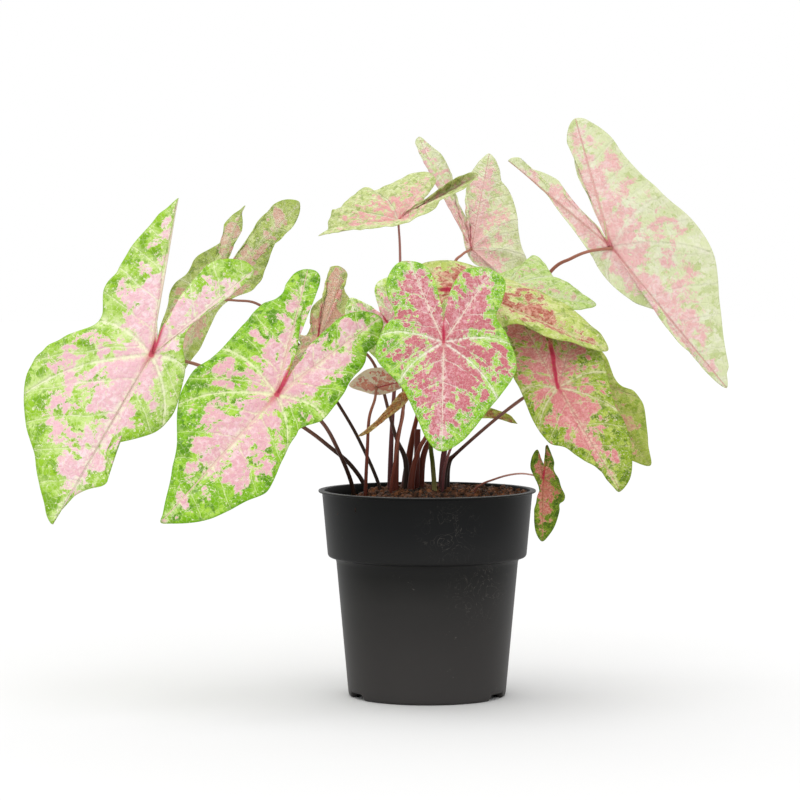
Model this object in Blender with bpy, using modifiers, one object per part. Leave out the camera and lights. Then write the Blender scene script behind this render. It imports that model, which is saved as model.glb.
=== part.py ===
"""A caladium with seventeen leaves in a round black nursery pot.

The pot stands on Z = 0 with its axis on Z, and the front of the plant looks along -Y.
"""

import math

import bmesh
import bpy
import numpy as np
from mathutils import Matrix

# All sizes below are millimetres, and MM turns them into the scene's metres.
MM = 0.001

# Where the plant is looked at from. A leaf's outline is given as it shows from here, on the
# upright plane through the pot's axis, and in_depth moves each point along its line of sight.
EYE_X = -15.0
EYE_BACK = 1700.0
EYE_HEIGHT = 244.5

POT_HEIGHT = 113.7
RIM_RADIUS = 60.0
LIP_THICKNESS = 1.4
COLLAR_TOP_RADIUS = 58.0
COLLAR_FOOT_RADIUS = 54.8
COLLAR_FOOT_Z = 77.4
STEP_Z = 76.0
BODY_TOP_RADIUS = 50.2
BASE_RADIUS = 43.4
WALL = 1.3
FLOOR_UNDERSIDE_Z = 3.8
FLOOR_THICKNESS = 1.5
FOOT_WIDTH = 1.8
BOSS_RADIUS = 10.0
POT_STEPS = 48

NOTCH_ANGLES = (-64.0, 62.0, 180.0)
NOTCH_WIDTH = 16.5
NOTCH_HEIGHT = 3.3
NOTCH_CHAMFER = 1.6

GAP = 0.35
HOLE_GAP = 0.5
SOIL_MIDDLE_Z = 112.6
SOIL_LEFT_DIP = 7.0
SOIL_EDGE_DROP = 3.0
SOIL_LUMP = 0.7
SOIL_SPOKES = 40
SOIL_TOP_RINGS = 8

BLADE_THICKNESS = 0.7
BLADE_RINGS = 4
BLADE_LEAST_RAYS = 26
WAVE = 1.1
WAVES_ROUND = 7
PLEAT = 0.45

STEM_BEVEL_RESOLUTION = 1
HOLE_DEPTH = 16.0
STEM_POINTS_IN_HOLE = 5
STUB_RADIUS = 1.5

# Each leaf: attach is where its petiole joins, depth is that point's Y, and tilt is how much
# the blade goes back for each millimetre to the right and up. stem is +1 where the petiole is
# behind the blade and -1 where it is in front. An outline goes round from the tip as (x, z),
# and where the blade leaves its plane the third number is that point's own Y.
LEAVES = {
    "far_left": {
        "attach": (-152, 188), "depth": -25, "tilt": (-0.08, 0.42), "stem": 1,
        "outline": (
            (-207, 94), (-195, 112), (-180, 120), (-176, 136), (-164, 143), (-146, 151),
            (-136, 174), (-132, 201), (-113, 216), (-97, 230), (-99, 239), (-109, 241),
            (-122, 236), (-133, 224), (-141, 210), (-148, 197), (-146, 223), (-142, 248),
            (-139, 275), (-152, 259), (-166, 239), (-181, 208), (-202, 196), (-220, 174),
            (-222, 152), (-217, 133), (-213, 111),
        ),
    },
    "back_left": {
        "attach": (-123, 218), "depth": 38, "tilt": (0.05, -0.30), "stem": -1,
        "outline": (
            (-143, 164), (-133, 180), (-124, 190), (-119, 203), (-111, 213), (-95, 224),
            (-86, 240), (-77, 254), (-71, 264), (-71, 272), (-81, 273), (-93, 262),
            (-101, 248), (-109, 238), (-118, 226), (-111, 241), (-105, 256), (-101, 270),
            (-113, 256), (-127, 241), (-140, 225), (-147, 203), (-150, 180),
        ),
    },
    "front_left": {
        "attach": (-83, 166), "depth": -62, "tilt": (0.10, 0.50), "stem": 1,
        "outline": (
            (-147, 97), (-125, 96), (-103, 105), (-87, 113), (-77, 130), (-69, 147),
            (-57, 153), (-45, 168), (-34, 184), (-24, 206), (-34, 212), (-45, 210),
            (-55, 202), (-65, 191), (-76, 178), (-72, 195), (-69, 208), (-60, 225),
            (-63, 235), (-76, 227), (-91, 213), (-117, 191), (-132, 175), (-138, 158),
            (-139, 136), (-143, 113),
        ),
    },
    "mid_left": {
        "attach": (-60, 195), "depth": 8, "tilt": (0.0, -0.15), "stem": -1,
        "outline": (
            (-76, 160), (-58, 168), (-45, 182), (-40, 200), (-42, 217), (-44, 231),
            (-51, 237), (-57, 229), (-60, 217), (-65, 210), (-68, 203), (-74, 197),
            (-80, 185), (-82, 171),
        ),
    },
    "mid_front": {
        "attach": (-22, 206), "depth": -20, "tilt": (0.05, 0.25), "stem": 1,
        "outline": (
            (0, 168), (-15, 174), (-26, 184), (-37, 195), (-45, 208), (-43, 219),
            (-35, 217), (-26, 211), (-29, 223), (-26, 229), (-16, 231), (-8, 224),
            (-1, 210), (3, 193), (4, 179),
        ),
    },
    "front_center": {
        "attach": (9, 195), "depth": -68, "tilt": (0.0, 0.35), "stem": 1,
        "outline": (
            (8, 135), (20, 141), (34, 158), (47, 175), (49, 185), (44, 199), (38, 209),
            (41, 217), (43, 228), (36, 235), (26, 236), (19, 234), (14, 226), (11, 217),
            (9, 207), (7, 218), (4, 229), (-1, 237), (-10, 240), (-17, 238), (-22, 230),
            (-22, 221), (-18, 210), (-24, 203), (-28, 193), (-27, 184), (-14, 170),
            (-6, 154), (0, 141),
        ),
    },
    "top_left": {
        "attach": (-16, 262), "depth": 26, "tilt": (-0.10, 1.10), "stem": 1,
        "outline": (
            (-60, 254, 24), (-54, 263, 38), (-48, 270, 48), (-34, 280, 60), (-24, 281, 60),
            (-12, 286, 62), (0, 289, 58), (5, 283, 50), (-2, 274, 40), (-9, 268, 31),
            (2, 276, 24), (11, 283, 18), (20, 287, 12), (28, 287, 8), (21, 280, 3),
            (11, 274, 0), (4, 268, -2), (-5, 262, -3), (-16, 258, -4), (-25, 257, -4),
            (-35, 256, 0), (-46, 255, 8), (-54, 253, 17),
        ),
    },
    "top_center": {
        "attach": (24, 246), "depth": 70, "tilt": (0.15, 0.20), "stem": -1,
        "outline": (
            (57, 218), (56, 232), (54, 242), (50, 259), (47, 273), (42, 283), (40, 292),
            (34, 299), (28, 294), (25, 286), (24, 276), (23, 268), (22, 258), (19, 267),
            (15, 279), (8, 293), (-4, 308), (1, 297), (8, 284), (13, 272), (18, 257),
            (20, 248, 68), (24, 241, 67), (30, 236, 68), (39, 232, 71), (48, 224, 74),
        ),
    },
    "right_upper": {
        "attach": (45, 225), "depth": 24, "tilt": (0.0, 1.60), "stem": 1,
        "outline": (
            (93, 216, 14), (85, 213, 8), (73, 213, 5), (57, 215, 4), (43, 216, 6),
            (34, 220, 12), (39, 225, 22), (35, 230, 34), (43, 234, 44), (52, 238, 50),
            (58, 243, 52), (64, 239, 46), (69, 232, 36), (77, 228, 28), (85, 222, 20),
        ),
    },
    "right_middle": {
        "attach": (22, 224), "depth": -28, "tilt": (0.0, 0.80), "stem": 1,
        "outline": (
            (100, 191, -34), (92, 191, -40), (79, 195, -46), (65, 198, -48),
            (57, 203, -46), (48, 205, -45), (38, 203, -45), (26, 201, -46),
            (12, 204, -44), (1, 210, -40), (-4, 216, -35), (2, 223, -28), (-5, 231, -18),
            (-4, 238, -12), (6, 240, -10), (20, 239, -8), (31, 236, -8), (42, 231, -8),
            (58, 225, -9), (68, 220, -12), (79, 214, -16), (88, 206, -22), (96, 199, -28),
        ),
    },
    "right_front": {
        "attach": (72, 170), "depth": -44, "tilt": (0.05, 0.40), "stem": 1,
        "outline": (
            (107, 113), (112, 120), (113, 131), (110, 148), (103, 162), (100, 174),
            (97, 185, -32), (91, 197, -20), (82, 206, -10), (72, 207, -8), (65, 196, -24),
            (56, 209, -14), (46, 217, -6), (41, 211, -8), (42, 196, -20), (47, 177, -36),
            (53, 163), (62, 146), (76, 136), (94, 126),
        ),
    },
    "right_back": {
        "attach": (90, 171), "depth": -10, "tilt": (0.0, 0.30), "stem": 1,
        "outline": (
            (123, 127), (112, 130), (98, 136), (84, 149), (74, 166), (73, 182), (79, 191),
            (86, 181), (89, 190), (94, 192), (99, 186), (103, 176), (107, 171),
            (114, 168), (119, 161), (121, 149), (122, 138),
        ),
    },
    "far_right": {
        "attach": (101, 247), "depth": 52, "tilt": (0.10, -0.28), "stem": -1,
        "outline": (
            (165, 170), (151, 182), (143, 191), (133, 206), (124, 214), (106, 224),
            (93, 239), (79, 259), (66, 276), (51, 291), (46, 297), (56, 293), (72, 285),
            (80, 274), (89, 264), (98, 253), (94, 268), (86, 286), (80, 301), (77, 311),
            (81, 318), (90, 316), (100, 309), (108, 298), (125, 281), (144, 265),
            (157, 244), (161, 218), (163, 201), (166, 182),
        ),
    },
    "low_right": {
        "attach": (64, 120), "depth": -36, "tilt": (0.10, 0.20), "stem": 1,
        "outline": (
            (63, 85), (69, 91), (73, 101), (76, 110), (73, 120), (70, 129), (66, 138),
            (65, 127), (61, 136), (58, 132), (57, 125), (60, 117), (61, 107), (59, 98),
            (60, 90),
        ),
    },
    "small_under": {
        "attach": (-28, 170), "depth": -6, "tilt": (0.0, -0.40), "stem": -1,
        "outline": (
            (-43, 171), (-39, 176), (-33, 180), (-25, 181), (-16, 179), (-10, 174),
            (-14, 170), (-21, 167), (-28, 166), (-36, 168),
        ),
    },
    "dry_left": {
        "attach": (-14, 163), "depth": -14, "tilt": (0.0, 0.30), "stem": 1,
        "outline": (
            (-38, 143), (-28, 149), (-17, 156), (-11, 161), (-10, 168), (-13, 169),
            (-19, 165), (-31, 154),
        ),
    },
    "narrow_right": {
        "attach": (27, 157), "depth": -12, "tilt": (0.0, 0.30), "stem": 1,
        "outline": (
            (49, 150), (41, 149), (32, 152), (23, 153), (20, 157), (23, 162), (32, 161),
            (42, 156),
        ),
    },
}

# Each petiole: its radii at the blade and in the soil, and the points that it passes below
# its blade as (x, z, y), seen like the outlines. The last one lies on the soil.
PETIOLES = {
    "far_left": {
        "radii": (0.9, 1.7),
        "route": ((-125, 182, -20), (-97, 166, -14), (-68, 148, -12), (-51, 136, -9),
                  (-35, 114, -4)),
    },
    "back_left": {
        "radii": (0.7, 1.4),
        "route": ((-106, 218, 29), (-90, 214, 27), (-68, 190, 26), (-49, 161, 20),
                  (-38, 143, 13), (-27, 114, 6)),
    },
    "front_left": {
        "radii": (0.9, 1.7),
        "route": ((-73, 162, -54), (-58, 151, -42), (-48, 133, -26), (-41, 114, -14)),
    },
    "mid_left": {
        "radii": (0.7, 1.3),
        "route": ((-45, 194, 1), (-34, 189, 0), (-26, 178, 0), (-20, 160, 1),
                  (-16, 140, 2), (-13, 114, 2)),
    },
    "mid_front": {
        "radii": (0.7, 1.3),
        "route": ((-18, 190, -14), (-13, 168, -10), (-14, 150, -9), (-17, 136, -8),
                  (-18, 114, -7)),
    },
    "front_center": {
        "radii": (0.8, 1.5),
        "route": ((8, 185, -62), (5, 163, -48), (2, 141, -30), (3, 128, -20),
                  (4, 114, -13)),
    },
    "top_left": {
        "radii": (0.7, 1.6),
        "route": ((-15, 245, 22), (-15, 215, 18), (-17, 185, 15), (-19, 156, 12),
                  (-20, 135, 10), (-21, 114, 9)),
    },
    "top_center": {
        "radii": (0.7, 1.6),
        "route": ((19, 243, 60), (14, 236, 53), (9, 205, 36), (3, 165, 20), (-2, 144, 15),
                  (-8, 130, 13), (-12, 114, 13)),
    },
    "right_upper": {
        "radii": (0.8, 1.6),
        "route": ((38, 208, 20), (27, 180, 12), (15, 152, 6), (9, 135, 4), (7, 114, 3)),
    },
    "right_middle": {
        "radii": (0.8, 1.5),
        "route": ((19, 208, -21), (10, 178, -13), (1, 148, -7), (-2, 134, -5),
                  (-4, 114, -4)),
    },
    "right_front": {
        "radii": (0.8, 1.6),
        "route": ((63, 168, -34), (50, 161, -28), (32, 148, -18), (17, 134, -10),
                  (11, 114, -6)),
    },
    "right_back": {
        "radii": (0.8, 1.6),
        "route": ((78, 166, 2), (60, 160, 4), (38, 148, 5), (21, 133, 6), (15, 114, 6)),
    },
    "far_right": {
        "radii": (0.8, 1.6),
        "route": ((89, 245, 45), (79, 241, 50), (68, 234, 57), (50, 208, 50), (31, 180, 34),
                  (12, 152, 20), (1, 134, 12), (1, 114, 11)),
    },
    "low_right": {
        "radii": (0.5, 0.8),
        "route": ((59, 121, -31), (52, 123, -29), (44, 122, -26), (35, 119, -22),
                  (29, 111, -18)),
    },
    "small_under": {
        "radii": (0.5, 0.9),
        "route": ((-29, 163, -9), (-32, 153, -13), (-33, 136, -14), (-33, 114, -14)),
    },
    "dry_left": {
        "radii": (0.5, 0.9),
        "route": ((-13, 156, -12), (-14, 146, -12), (-18, 128, -15), (-20, 114, -16)),
    },
    "narrow_right": {
        "radii": (0.6, 0.9),
        "route": ((23, 152, -10), (17, 141, -12), (13, 126, -15), (12, 114, -16)),
    },
}

STUB_TOP = (-6, 146, 7)
STUB_FOOT = (-6, 112, 7)


def clear_scene():
    for old in list(bpy.data.objects):
        bpy.data.objects.remove(old, do_unlink=True)


def new_collection(name, cutters=False):
    collection = bpy.data.collections.new(name)
    bpy.context.scene.collection.children.link(collection)
    collection.hide_render = cutters
    return collection


def new_material(name, color, roughness):
    """A Principled material with one colour, given as linear RGB."""
    material = bpy.data.materials.new(name)
    material.use_nodes = True
    shader = material.node_tree.nodes["Principled BSDF"]
    shader.inputs["Base Color"].default_value = (*color, 1.0)
    shader.inputs["Roughness"].default_value = roughness
    shader.inputs["Metallic"].default_value = 0.0
    material.diffuse_color = (*color, 1.0)
    return material


def in_depth(x, z, y):
    """The point in metres that shows at (x, z) from the eye and lies at depth y."""
    grow = 1.0 + np.asarray(y) / EYE_BACK
    across = EYE_X + (np.asarray(x) - EYE_X) * grow
    up = EYE_HEIGHT + (np.asarray(z) - EYE_HEIGHT) * grow
    return np.stack([across, np.asarray(y) + 0.0 * across, up], axis=-1) * MM


def smooth_through(points, count, closed):
    """A Catmull-Rom curve through the points, with count samples on each of its stretches."""
    points = np.asarray(points, float)
    if closed:
        before, after, last = np.roll(points, 1, 0), np.roll(points, -1, 0), np.roll(points, -2, 0)
        start, end = points, after
    else:
        padded = np.vstack([2 * points[0] - points[1], points, 2 * points[-1] - points[-2]])
        before, start, end, last = padded[:-3], padded[1:-2], padded[2:-1], padded[3:]
    t = (np.arange(count) / count)[None, :, None]
    a, b, c, d = (p[:, None, :] for p in (before, start, end, last))
    curve = 0.5 * (
        2 * b + (c - a) * t + (2 * a - 5 * b + 4 * c - d) * t**2 + (3 * b - a - 3 * c + d) * t**3
    )
    curve = curve.reshape(-1, points.shape[1])
    return curve if closed else np.vstack([curve, points[-1]])


def plane_depth(leaf, x, z):
    """The depth of the blade's plane at (x, z)."""
    across = x - leaf["attach"][0]
    up = z - leaf["attach"][1]
    return leaf["depth"] + leaf["tilt"][0] * across + leaf["tilt"][1] * up


def leaf_outline(leaf):
    """The outline's samples as (x, z, how far the margin leaves the blade's plane)."""
    points = []
    for place in leaf["outline"]:
        flat = plane_depth(leaf, place[0], place[1])
        away = place[2] - flat if len(place) == 3 else 0.0
        points.append((place[0], place[1], away))
    count = max(1, math.ceil(BLADE_LEAST_RAYS / len(points)))
    return smooth_through(points, count, closed=True)


def blade_points(leaf):
    """The blade's grid: ring 0 is the attachment, and the last ring is the outline.

    Points go out from the attachment along straight rays. Away from it the blade bends to the
    depths of its margin, the margin is waved, and every third ray is sunk as a vein.
    """
    outline = leaf_outline(leaf)
    turn = 2 * math.pi * np.arange(len(outline)) / len(outline)
    middle = np.array(leaf["attach"], float)
    reach = np.hypot(*(outline[:, :2] - middle).T)
    size = min(1.0, reach.max() / 60.0)
    wave = WAVE * size * np.sin(WAVES_ROUND * turn)
    pleat = np.where(np.arange(len(outline)) % 3 == 0, PLEAT, -0.5 * PLEAT) * size
    rings = []
    for ring in range(1, BLADE_RINGS + 1):
        part = ring / BLADE_RINGS
        x = middle[0] + (outline[:, 0] - middle[0]) * part
        z = middle[1] + (outline[:, 1] - middle[1]) * part
        bent = (outline[:, 2] + wave) * part**2
        folded = pleat * math.sin(math.pi * part)
        rings.append(in_depth(x, z, plane_depth(leaf, x, z) + bent + folded))
    return in_depth(middle[0], middle[1], leaf["depth"]), rings


def build_leaf(name, leaf, collection, material):
    center, rings = blade_points(leaf)
    mesh = bmesh.new()
    hub = mesh.verts.new(center)
    rows = [[mesh.verts.new(point) for point in ring] for ring in rings]
    count = len(rows[0])
    for i in range(count):
        j = (i + 1) % count
        mesh.faces.new((hub, rows[0][i], rows[0][j]))
        for inner, outer in zip(rows[:-1], rows[1:]):
            mesh.faces.new((inner[i], outer[i], outer[j]))
            mesh.faces.new((inner[i], outer[j], inner[j]))
    data = bpy.data.meshes.new("leaf_" + name)
    mesh.to_mesh(data)
    mesh.free()
    leaf_object = bpy.data.objects.new("leaf_" + name, data)
    collection.objects.link(leaf_object)
    thicken = leaf_object.modifiers.new("Thickness", "SOLIDIFY")
    thicken.thickness = BLADE_THICKNESS * MM
    thicken.offset = 0.0
    data.materials.append(material)
    data.shade_smooth()
    return leaf_object


def stem_side(leaf):
    """The unit vector from the blade towards its petiole."""
    x, z = leaf["attach"]
    here = in_depth(x, z, leaf["depth"])
    right = in_depth(x + 1, z, plane_depth(leaf, x + 1, z)) - here
    up = in_depth(x, z + 1, plane_depth(leaf, x, z + 1)) - here
    away = np.cross(up, right)
    return leaf["stem"] * away / np.linalg.norm(away)


def petiole_points(name):
    """The petiole's axis from just under its blade down into the soil, in metres."""
    leaf = LEAVES[name]
    top = in_depth(*leaf["attach"], leaf["depth"])
    clear = 0.5 * BLADE_THICKNESS + GAP + PETIOLES[name]["radii"][0]
    top = top + stem_side(leaf) * clear * MM
    route = [in_depth(*place) for place in PETIOLES[name]["route"]]
    foot = route[-1] - np.array((0.0, 0.0, HOLE_DEPTH * MM))
    return smooth_through([top, *route, foot], 2, closed=False)


def tube(name, points, radii, collection, material=None):
    """A round curve through the points, whose radius goes evenly from the first to the last."""
    curve = bpy.data.curves.new(name, "CURVE")
    curve.dimensions = "3D"
    curve.bevel_depth = MM
    curve.bevel_resolution = STEM_BEVEL_RESOLUTION
    curve.use_fill_caps = True
    spline = curve.splines.new("POLY")
    spline.points.add(len(points) - 1)
    steps = np.linspace(0.0, 1.0, len(points))
    for knot, place, step in zip(spline.points, points, steps):
        knot.co = (*place, 1.0)
        knot.radius = radii[0] + (radii[1] - radii[0]) * step
    tube_object = bpy.data.objects.new(name, curve)
    collection.objects.link(tube_object)
    if material:
        curve.materials.append(material)
    return tube_object


def as_mesh(curve_object, collection):
    """Replaces a curve with its mesh, with the caps joined to the sides."""
    bpy.context.view_layer.update()
    graph = bpy.context.evaluated_depsgraph_get()
    data = bpy.data.meshes.new_from_object(curve_object.evaluated_get(graph))
    welded = bmesh.new()
    welded.from_mesh(data)
    bmesh.ops.remove_doubles(welded, verts=welded.verts, dist=1e-6)
    bmesh.ops.recalc_face_normals(welded, faces=welded.faces)
    welded.to_mesh(data)
    welded.free()
    name = curve_object.name
    matrix = curve_object.matrix_world.copy()
    bpy.data.objects.remove(curve_object, do_unlink=True)
    solid = bpy.data.objects.new(name, data)
    solid.matrix_world = matrix
    collection.objects.link(solid)
    return solid


def pot_profile():
    """The pot's section as (radius, z), from the floor's middle up inside and down outside."""
    floor_z = FLOOR_UNDERSIDE_Z + FLOOR_THICKNESS
    inside_base = BASE_RADIUS - WALL
    return [
        (0.0, floor_z),
        (inside_base - 1.5, floor_z),
        (inside_base, floor_z + 1.5),
        (BODY_TOP_RADIUS - WALL, STEP_Z),
        (BODY_TOP_RADIUS - 0.4, STEP_Z + 1.4),
        (COLLAR_FOOT_RADIUS - WALL - 0.6, COLLAR_FOOT_Z + 0.6),
        (COLLAR_FOOT_RADIUS - WALL, COLLAR_FOOT_Z + 2.0),
        (COLLAR_TOP_RADIUS - WALL, POT_HEIGHT - 0.4),
        (COLLAR_TOP_RADIUS - WALL + 0.4, POT_HEIGHT),
        (RIM_RADIUS - 0.3, POT_HEIGHT),
        (RIM_RADIUS, POT_HEIGHT - 0.3),
        (RIM_RADIUS, POT_HEIGHT - LIP_THICKNESS + 0.3),
        (RIM_RADIUS - 0.3, POT_HEIGHT - LIP_THICKNESS),
        (COLLAR_TOP_RADIUS + 0.2, POT_HEIGHT - LIP_THICKNESS - 0.1),
        (COLLAR_TOP_RADIUS, POT_HEIGHT - LIP_THICKNESS - 0.4),
        (COLLAR_FOOT_RADIUS, COLLAR_FOOT_Z + 1.2),
        (COLLAR_FOOT_RADIUS - 0.4, COLLAR_FOOT_Z),
        (COLLAR_FOOT_RADIUS - 1.4, COLLAR_FOOT_Z - 0.8),
        (BODY_TOP_RADIUS, STEP_Z - 0.2),
        (BASE_RADIUS, 2.4),
        (BASE_RADIUS - 0.7, 0.7),
        (BASE_RADIUS - 1.6, 0.0),
        (BASE_RADIUS - 1.6 - FOOT_WIDTH, 0.0),
        (BASE_RADIUS - 1.6 - FOOT_WIDTH, FLOOR_UNDERSIDE_Z),
        (BOSS_RADIUS + 0.5, FLOOR_UNDERSIDE_Z),
        (BOSS_RADIUS, 0.0),
        (0.0, 0.0),
    ]


def notch_cutter(angle, collection):
    """A box that narrows upward, for one drain notch through the foot. 0 is the front."""
    data = bpy.data.meshes.new("notch_cutter")
    box = bmesh.new()
    bmesh.ops.create_cube(box, size=1.0)
    depth = 2.5 * (FOOT_WIDTH + 1.6)
    for corner in box.verts:
        at_top = corner.co.z > 0
        half = 0.5 * NOTCH_WIDTH - (NOTCH_CHAMFER if at_top else 0.0)
        corner.co.x = math.copysign(half, corner.co.x)
        corner.co.y = corner.co.y * depth - (BASE_RADIUS - 1.6)
        corner.co.z = NOTCH_HEIGHT if at_top else -2.0
    bmesh.ops.transform(box, matrix=Matrix.Scale(MM, 4), verts=box.verts)
    box.to_mesh(data)
    box.free()
    cutter = bpy.data.objects.new("notch_cutter", data)
    cutter.rotation_euler.z = math.radians(angle)
    cutter.hide_render = True
    cutter.display_type = "WIRE"
    collection.objects.link(cutter)
    return cutter


def cut(target, cutter):
    modifier = target.modifiers.new("Cut " + cutter.name, "BOOLEAN")
    modifier.operation = "DIFFERENCE"
    modifier.solver = "EXACT"
    modifier.object = cutter


def build_pot(collection, cutters, material):
    profile = pot_profile()
    data = bpy.data.meshes.new("pot")
    corners = [(radius * MM, 0.0, z * MM) for radius, z in profile]
    data.from_pydata(corners, [(i, i + 1) for i in range(len(corners) - 1)], [])
    pot = bpy.data.objects.new("pot", data)
    collection.objects.link(pot)
    screw = pot.modifiers.new("Turned", "SCREW")
    screw.axis = "Z"
    screw.steps = POT_STEPS
    screw.render_steps = POT_STEPS
    screw.use_merge_vertices = True
    screw.merge_threshold = 1e-5
    screw.use_normal_calculate = False
    for angle in NOTCH_ANGLES:
        cut(pot, notch_cutter(angle, cutters))
    data.materials.append(material)
    return pot


def soil_height(x, y):
    """The soil's top: a low mound in the middle and right that dips to the left and the wall."""
    left = 1.0 / (1.0 + np.exp((x + 36.0) / 5.0))
    edge = (np.hypot(x, y) / COLLAR_TOP_RADIUS) ** 4
    lump = np.sin(0.31 * x + 1.0) * np.sin(0.27 * y + 2.0) + 0.6 * np.sin(0.55 * x - 0.43 * y)
    return SOIL_MIDDLE_Z - SOIL_LEFT_DIP * left - SOIL_EDGE_DROP * edge + SOIL_LUMP * lump


def inside_radius(z):
    """The radius that the soil may take at height z inside the pot."""
    wall_foot_z = FLOOR_UNDERSIDE_Z + FLOOR_THICKNESS + 1.5
    heights = (wall_foot_z, STEP_Z, COLLAR_FOOT_Z + 2.0, POT_HEIGHT)
    radii = (
        BASE_RADIUS - WALL,
        BODY_TOP_RADIUS - WALL,
        COLLAR_FOOT_RADIUS - WALL,
        COLLAR_TOP_RADIUS - WALL,
    )
    return np.interp(z, heights, radii) - GAP


def build_soil(collection, cutters, holes, material):
    """The filling: one loft of rings over the top, down the wall and in under the bottom."""
    turn = 2 * math.pi * np.arange(SOIL_SPOKES) / SOIL_SPOKES
    cos, sin = np.cos(turn), np.sin(turn)
    bottom_z = FLOOR_UNDERSIDE_Z + FLOOR_THICKNESS + GAP
    top_radius = inside_radius(SOIL_MIDDLE_Z - SOIL_LEFT_DIP - SOIL_EDGE_DROP)
    rings = []
    for ring in range(1, SOIL_TOP_RINGS + 1):
        x = top_radius * cos * ring / SOIL_TOP_RINGS
        y = top_radius * sin * ring / SOIL_TOP_RINGS
        rings.append(np.stack([x, y, soil_height(x, y)], axis=-1))
    side = [
        (inside_radius(COLLAR_FOOT_Z + 2.8), COLLAR_FOOT_Z + 2.8),
        (inside_radius(STEP_Z), COLLAR_FOOT_Z + 1.4),
        (inside_radius(bottom_z + 2.2), bottom_z + 2.2),
        (inside_radius(bottom_z) - 2.0, bottom_z),
    ]
    for radius, z in side:
        rings.append(np.stack([radius * cos, radius * sin, 0 * cos + z], axis=-1))
    loft = bmesh.new()
    rows = [[loft.verts.new(point * MM) for point in ring] for ring in rings]
    top = loft.verts.new((0.0, 0.0, float(soil_height(0.0, 0.0)) * MM))
    bottom = loft.verts.new((0.0, 0.0, bottom_z * MM))
    for i in range(SOIL_SPOKES):
        j = (i + 1) % SOIL_SPOKES
        loft.faces.new((top, rows[0][i], rows[0][j]))
        loft.faces.new((rows[-1][i], bottom, rows[-1][j]))
        for upper, lower in zip(rows[:-1], rows[1:]):
            loft.faces.new((upper[i], lower[i], lower[j]))
            loft.faces.new((upper[i], lower[j], upper[j]))
    data = bpy.data.meshes.new("soil")
    loft.to_mesh(data)
    loft.free()
    soil = bpy.data.objects.new("soil", data)
    collection.objects.link(soil)
    for hole in holes:
        cut(soil, hole)
    data.materials.append(material)
    return soil


def hole_for(name, points, radius, collection):
    """The cutter of the plain hole that a stem stands in. It follows the stem's lower end."""
    stretch = np.array(points[-STEM_POINTS_IN_HOLE:])
    stretch[-1, 2] -= GAP * MM
    cutter = tube(name, stretch, (radius + HOLE_GAP, radius + HOLE_GAP), collection)
    cutter = as_mesh(cutter, collection)
    cutter.hide_render = True
    cutter.display_type = "WIRE"
    return cutter


def main():
    clear_scene()
    plant = new_collection("caladium_plant")
    cutters = new_collection("cutters", cutters=True)
    pot_black = new_material("pot_black_plastic", (0.024, 0.024, 0.026), 0.5)
    peat = new_material("brown_peat", (0.09, 0.035, 0.015), 0.95)
    leaf_green = new_material("leaf_pink_and_green", (0.50, 0.46, 0.20), 0.45)
    leaf_dull = new_material("leaf_dry_brown", (0.30, 0.15, 0.05), 0.7)
    petiole_red = new_material("petiole_maroon", (0.14, 0.045, 0.035), 0.5)

    build_pot(plant, cutters, pot_black)
    holes = []
    for name, leaf in LEAVES.items():
        dull = name in ("dry_left", "narrow_right")
        build_leaf(name, leaf, plant, leaf_dull if dull else leaf_green)
        points = petiole_points(name)
        radii = PETIOLES[name]["radii"]
        tube("petiole_" + name, points, radii, plant, petiole_red)
        holes.append(hole_for("hole_" + name, points, radii[1], cutters))
    foot = in_depth(*STUB_FOOT) - np.array((0.0, 0.0, HOLE_DEPTH * MM))
    stub_points = smooth_through([in_depth(*STUB_TOP), in_depth(*STUB_FOOT), foot], 3, closed=False)
    tube("petiole_stub", stub_points, (STUB_RADIUS, STUB_RADIUS), plant, petiole_red)
    holes.append(hole_for("hole_stub", stub_points, STUB_RADIUS, cutters))
    build_soil(plant, cutters, holes, peat)


main()
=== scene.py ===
import functools
import math

import bpy
import numpy as np
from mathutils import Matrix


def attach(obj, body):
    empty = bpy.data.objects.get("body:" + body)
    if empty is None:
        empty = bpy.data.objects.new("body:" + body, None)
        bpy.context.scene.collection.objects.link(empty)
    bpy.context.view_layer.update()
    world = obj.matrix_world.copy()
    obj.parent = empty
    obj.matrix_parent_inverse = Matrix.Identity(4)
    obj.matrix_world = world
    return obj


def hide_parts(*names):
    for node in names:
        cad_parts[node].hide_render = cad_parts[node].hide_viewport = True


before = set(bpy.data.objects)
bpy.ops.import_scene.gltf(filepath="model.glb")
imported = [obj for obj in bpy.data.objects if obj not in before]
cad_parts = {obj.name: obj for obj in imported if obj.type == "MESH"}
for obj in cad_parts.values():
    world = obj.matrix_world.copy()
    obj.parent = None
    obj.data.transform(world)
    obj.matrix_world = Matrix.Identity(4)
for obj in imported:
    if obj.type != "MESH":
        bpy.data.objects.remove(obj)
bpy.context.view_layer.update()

mm = 0.001
print("frame loaded:", len(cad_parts), "CAD nodes")

# The photograph's viewpoint. Leaf outlines and petiole routes are written as they show from
# here on the upright plane through the pot's axis, and inDepth moves them to their real place.
eye = {"x": -15.0, "back": 1700.0, "height": 244.5, "pitch": 2.74, "lens": 139.0}

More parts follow.
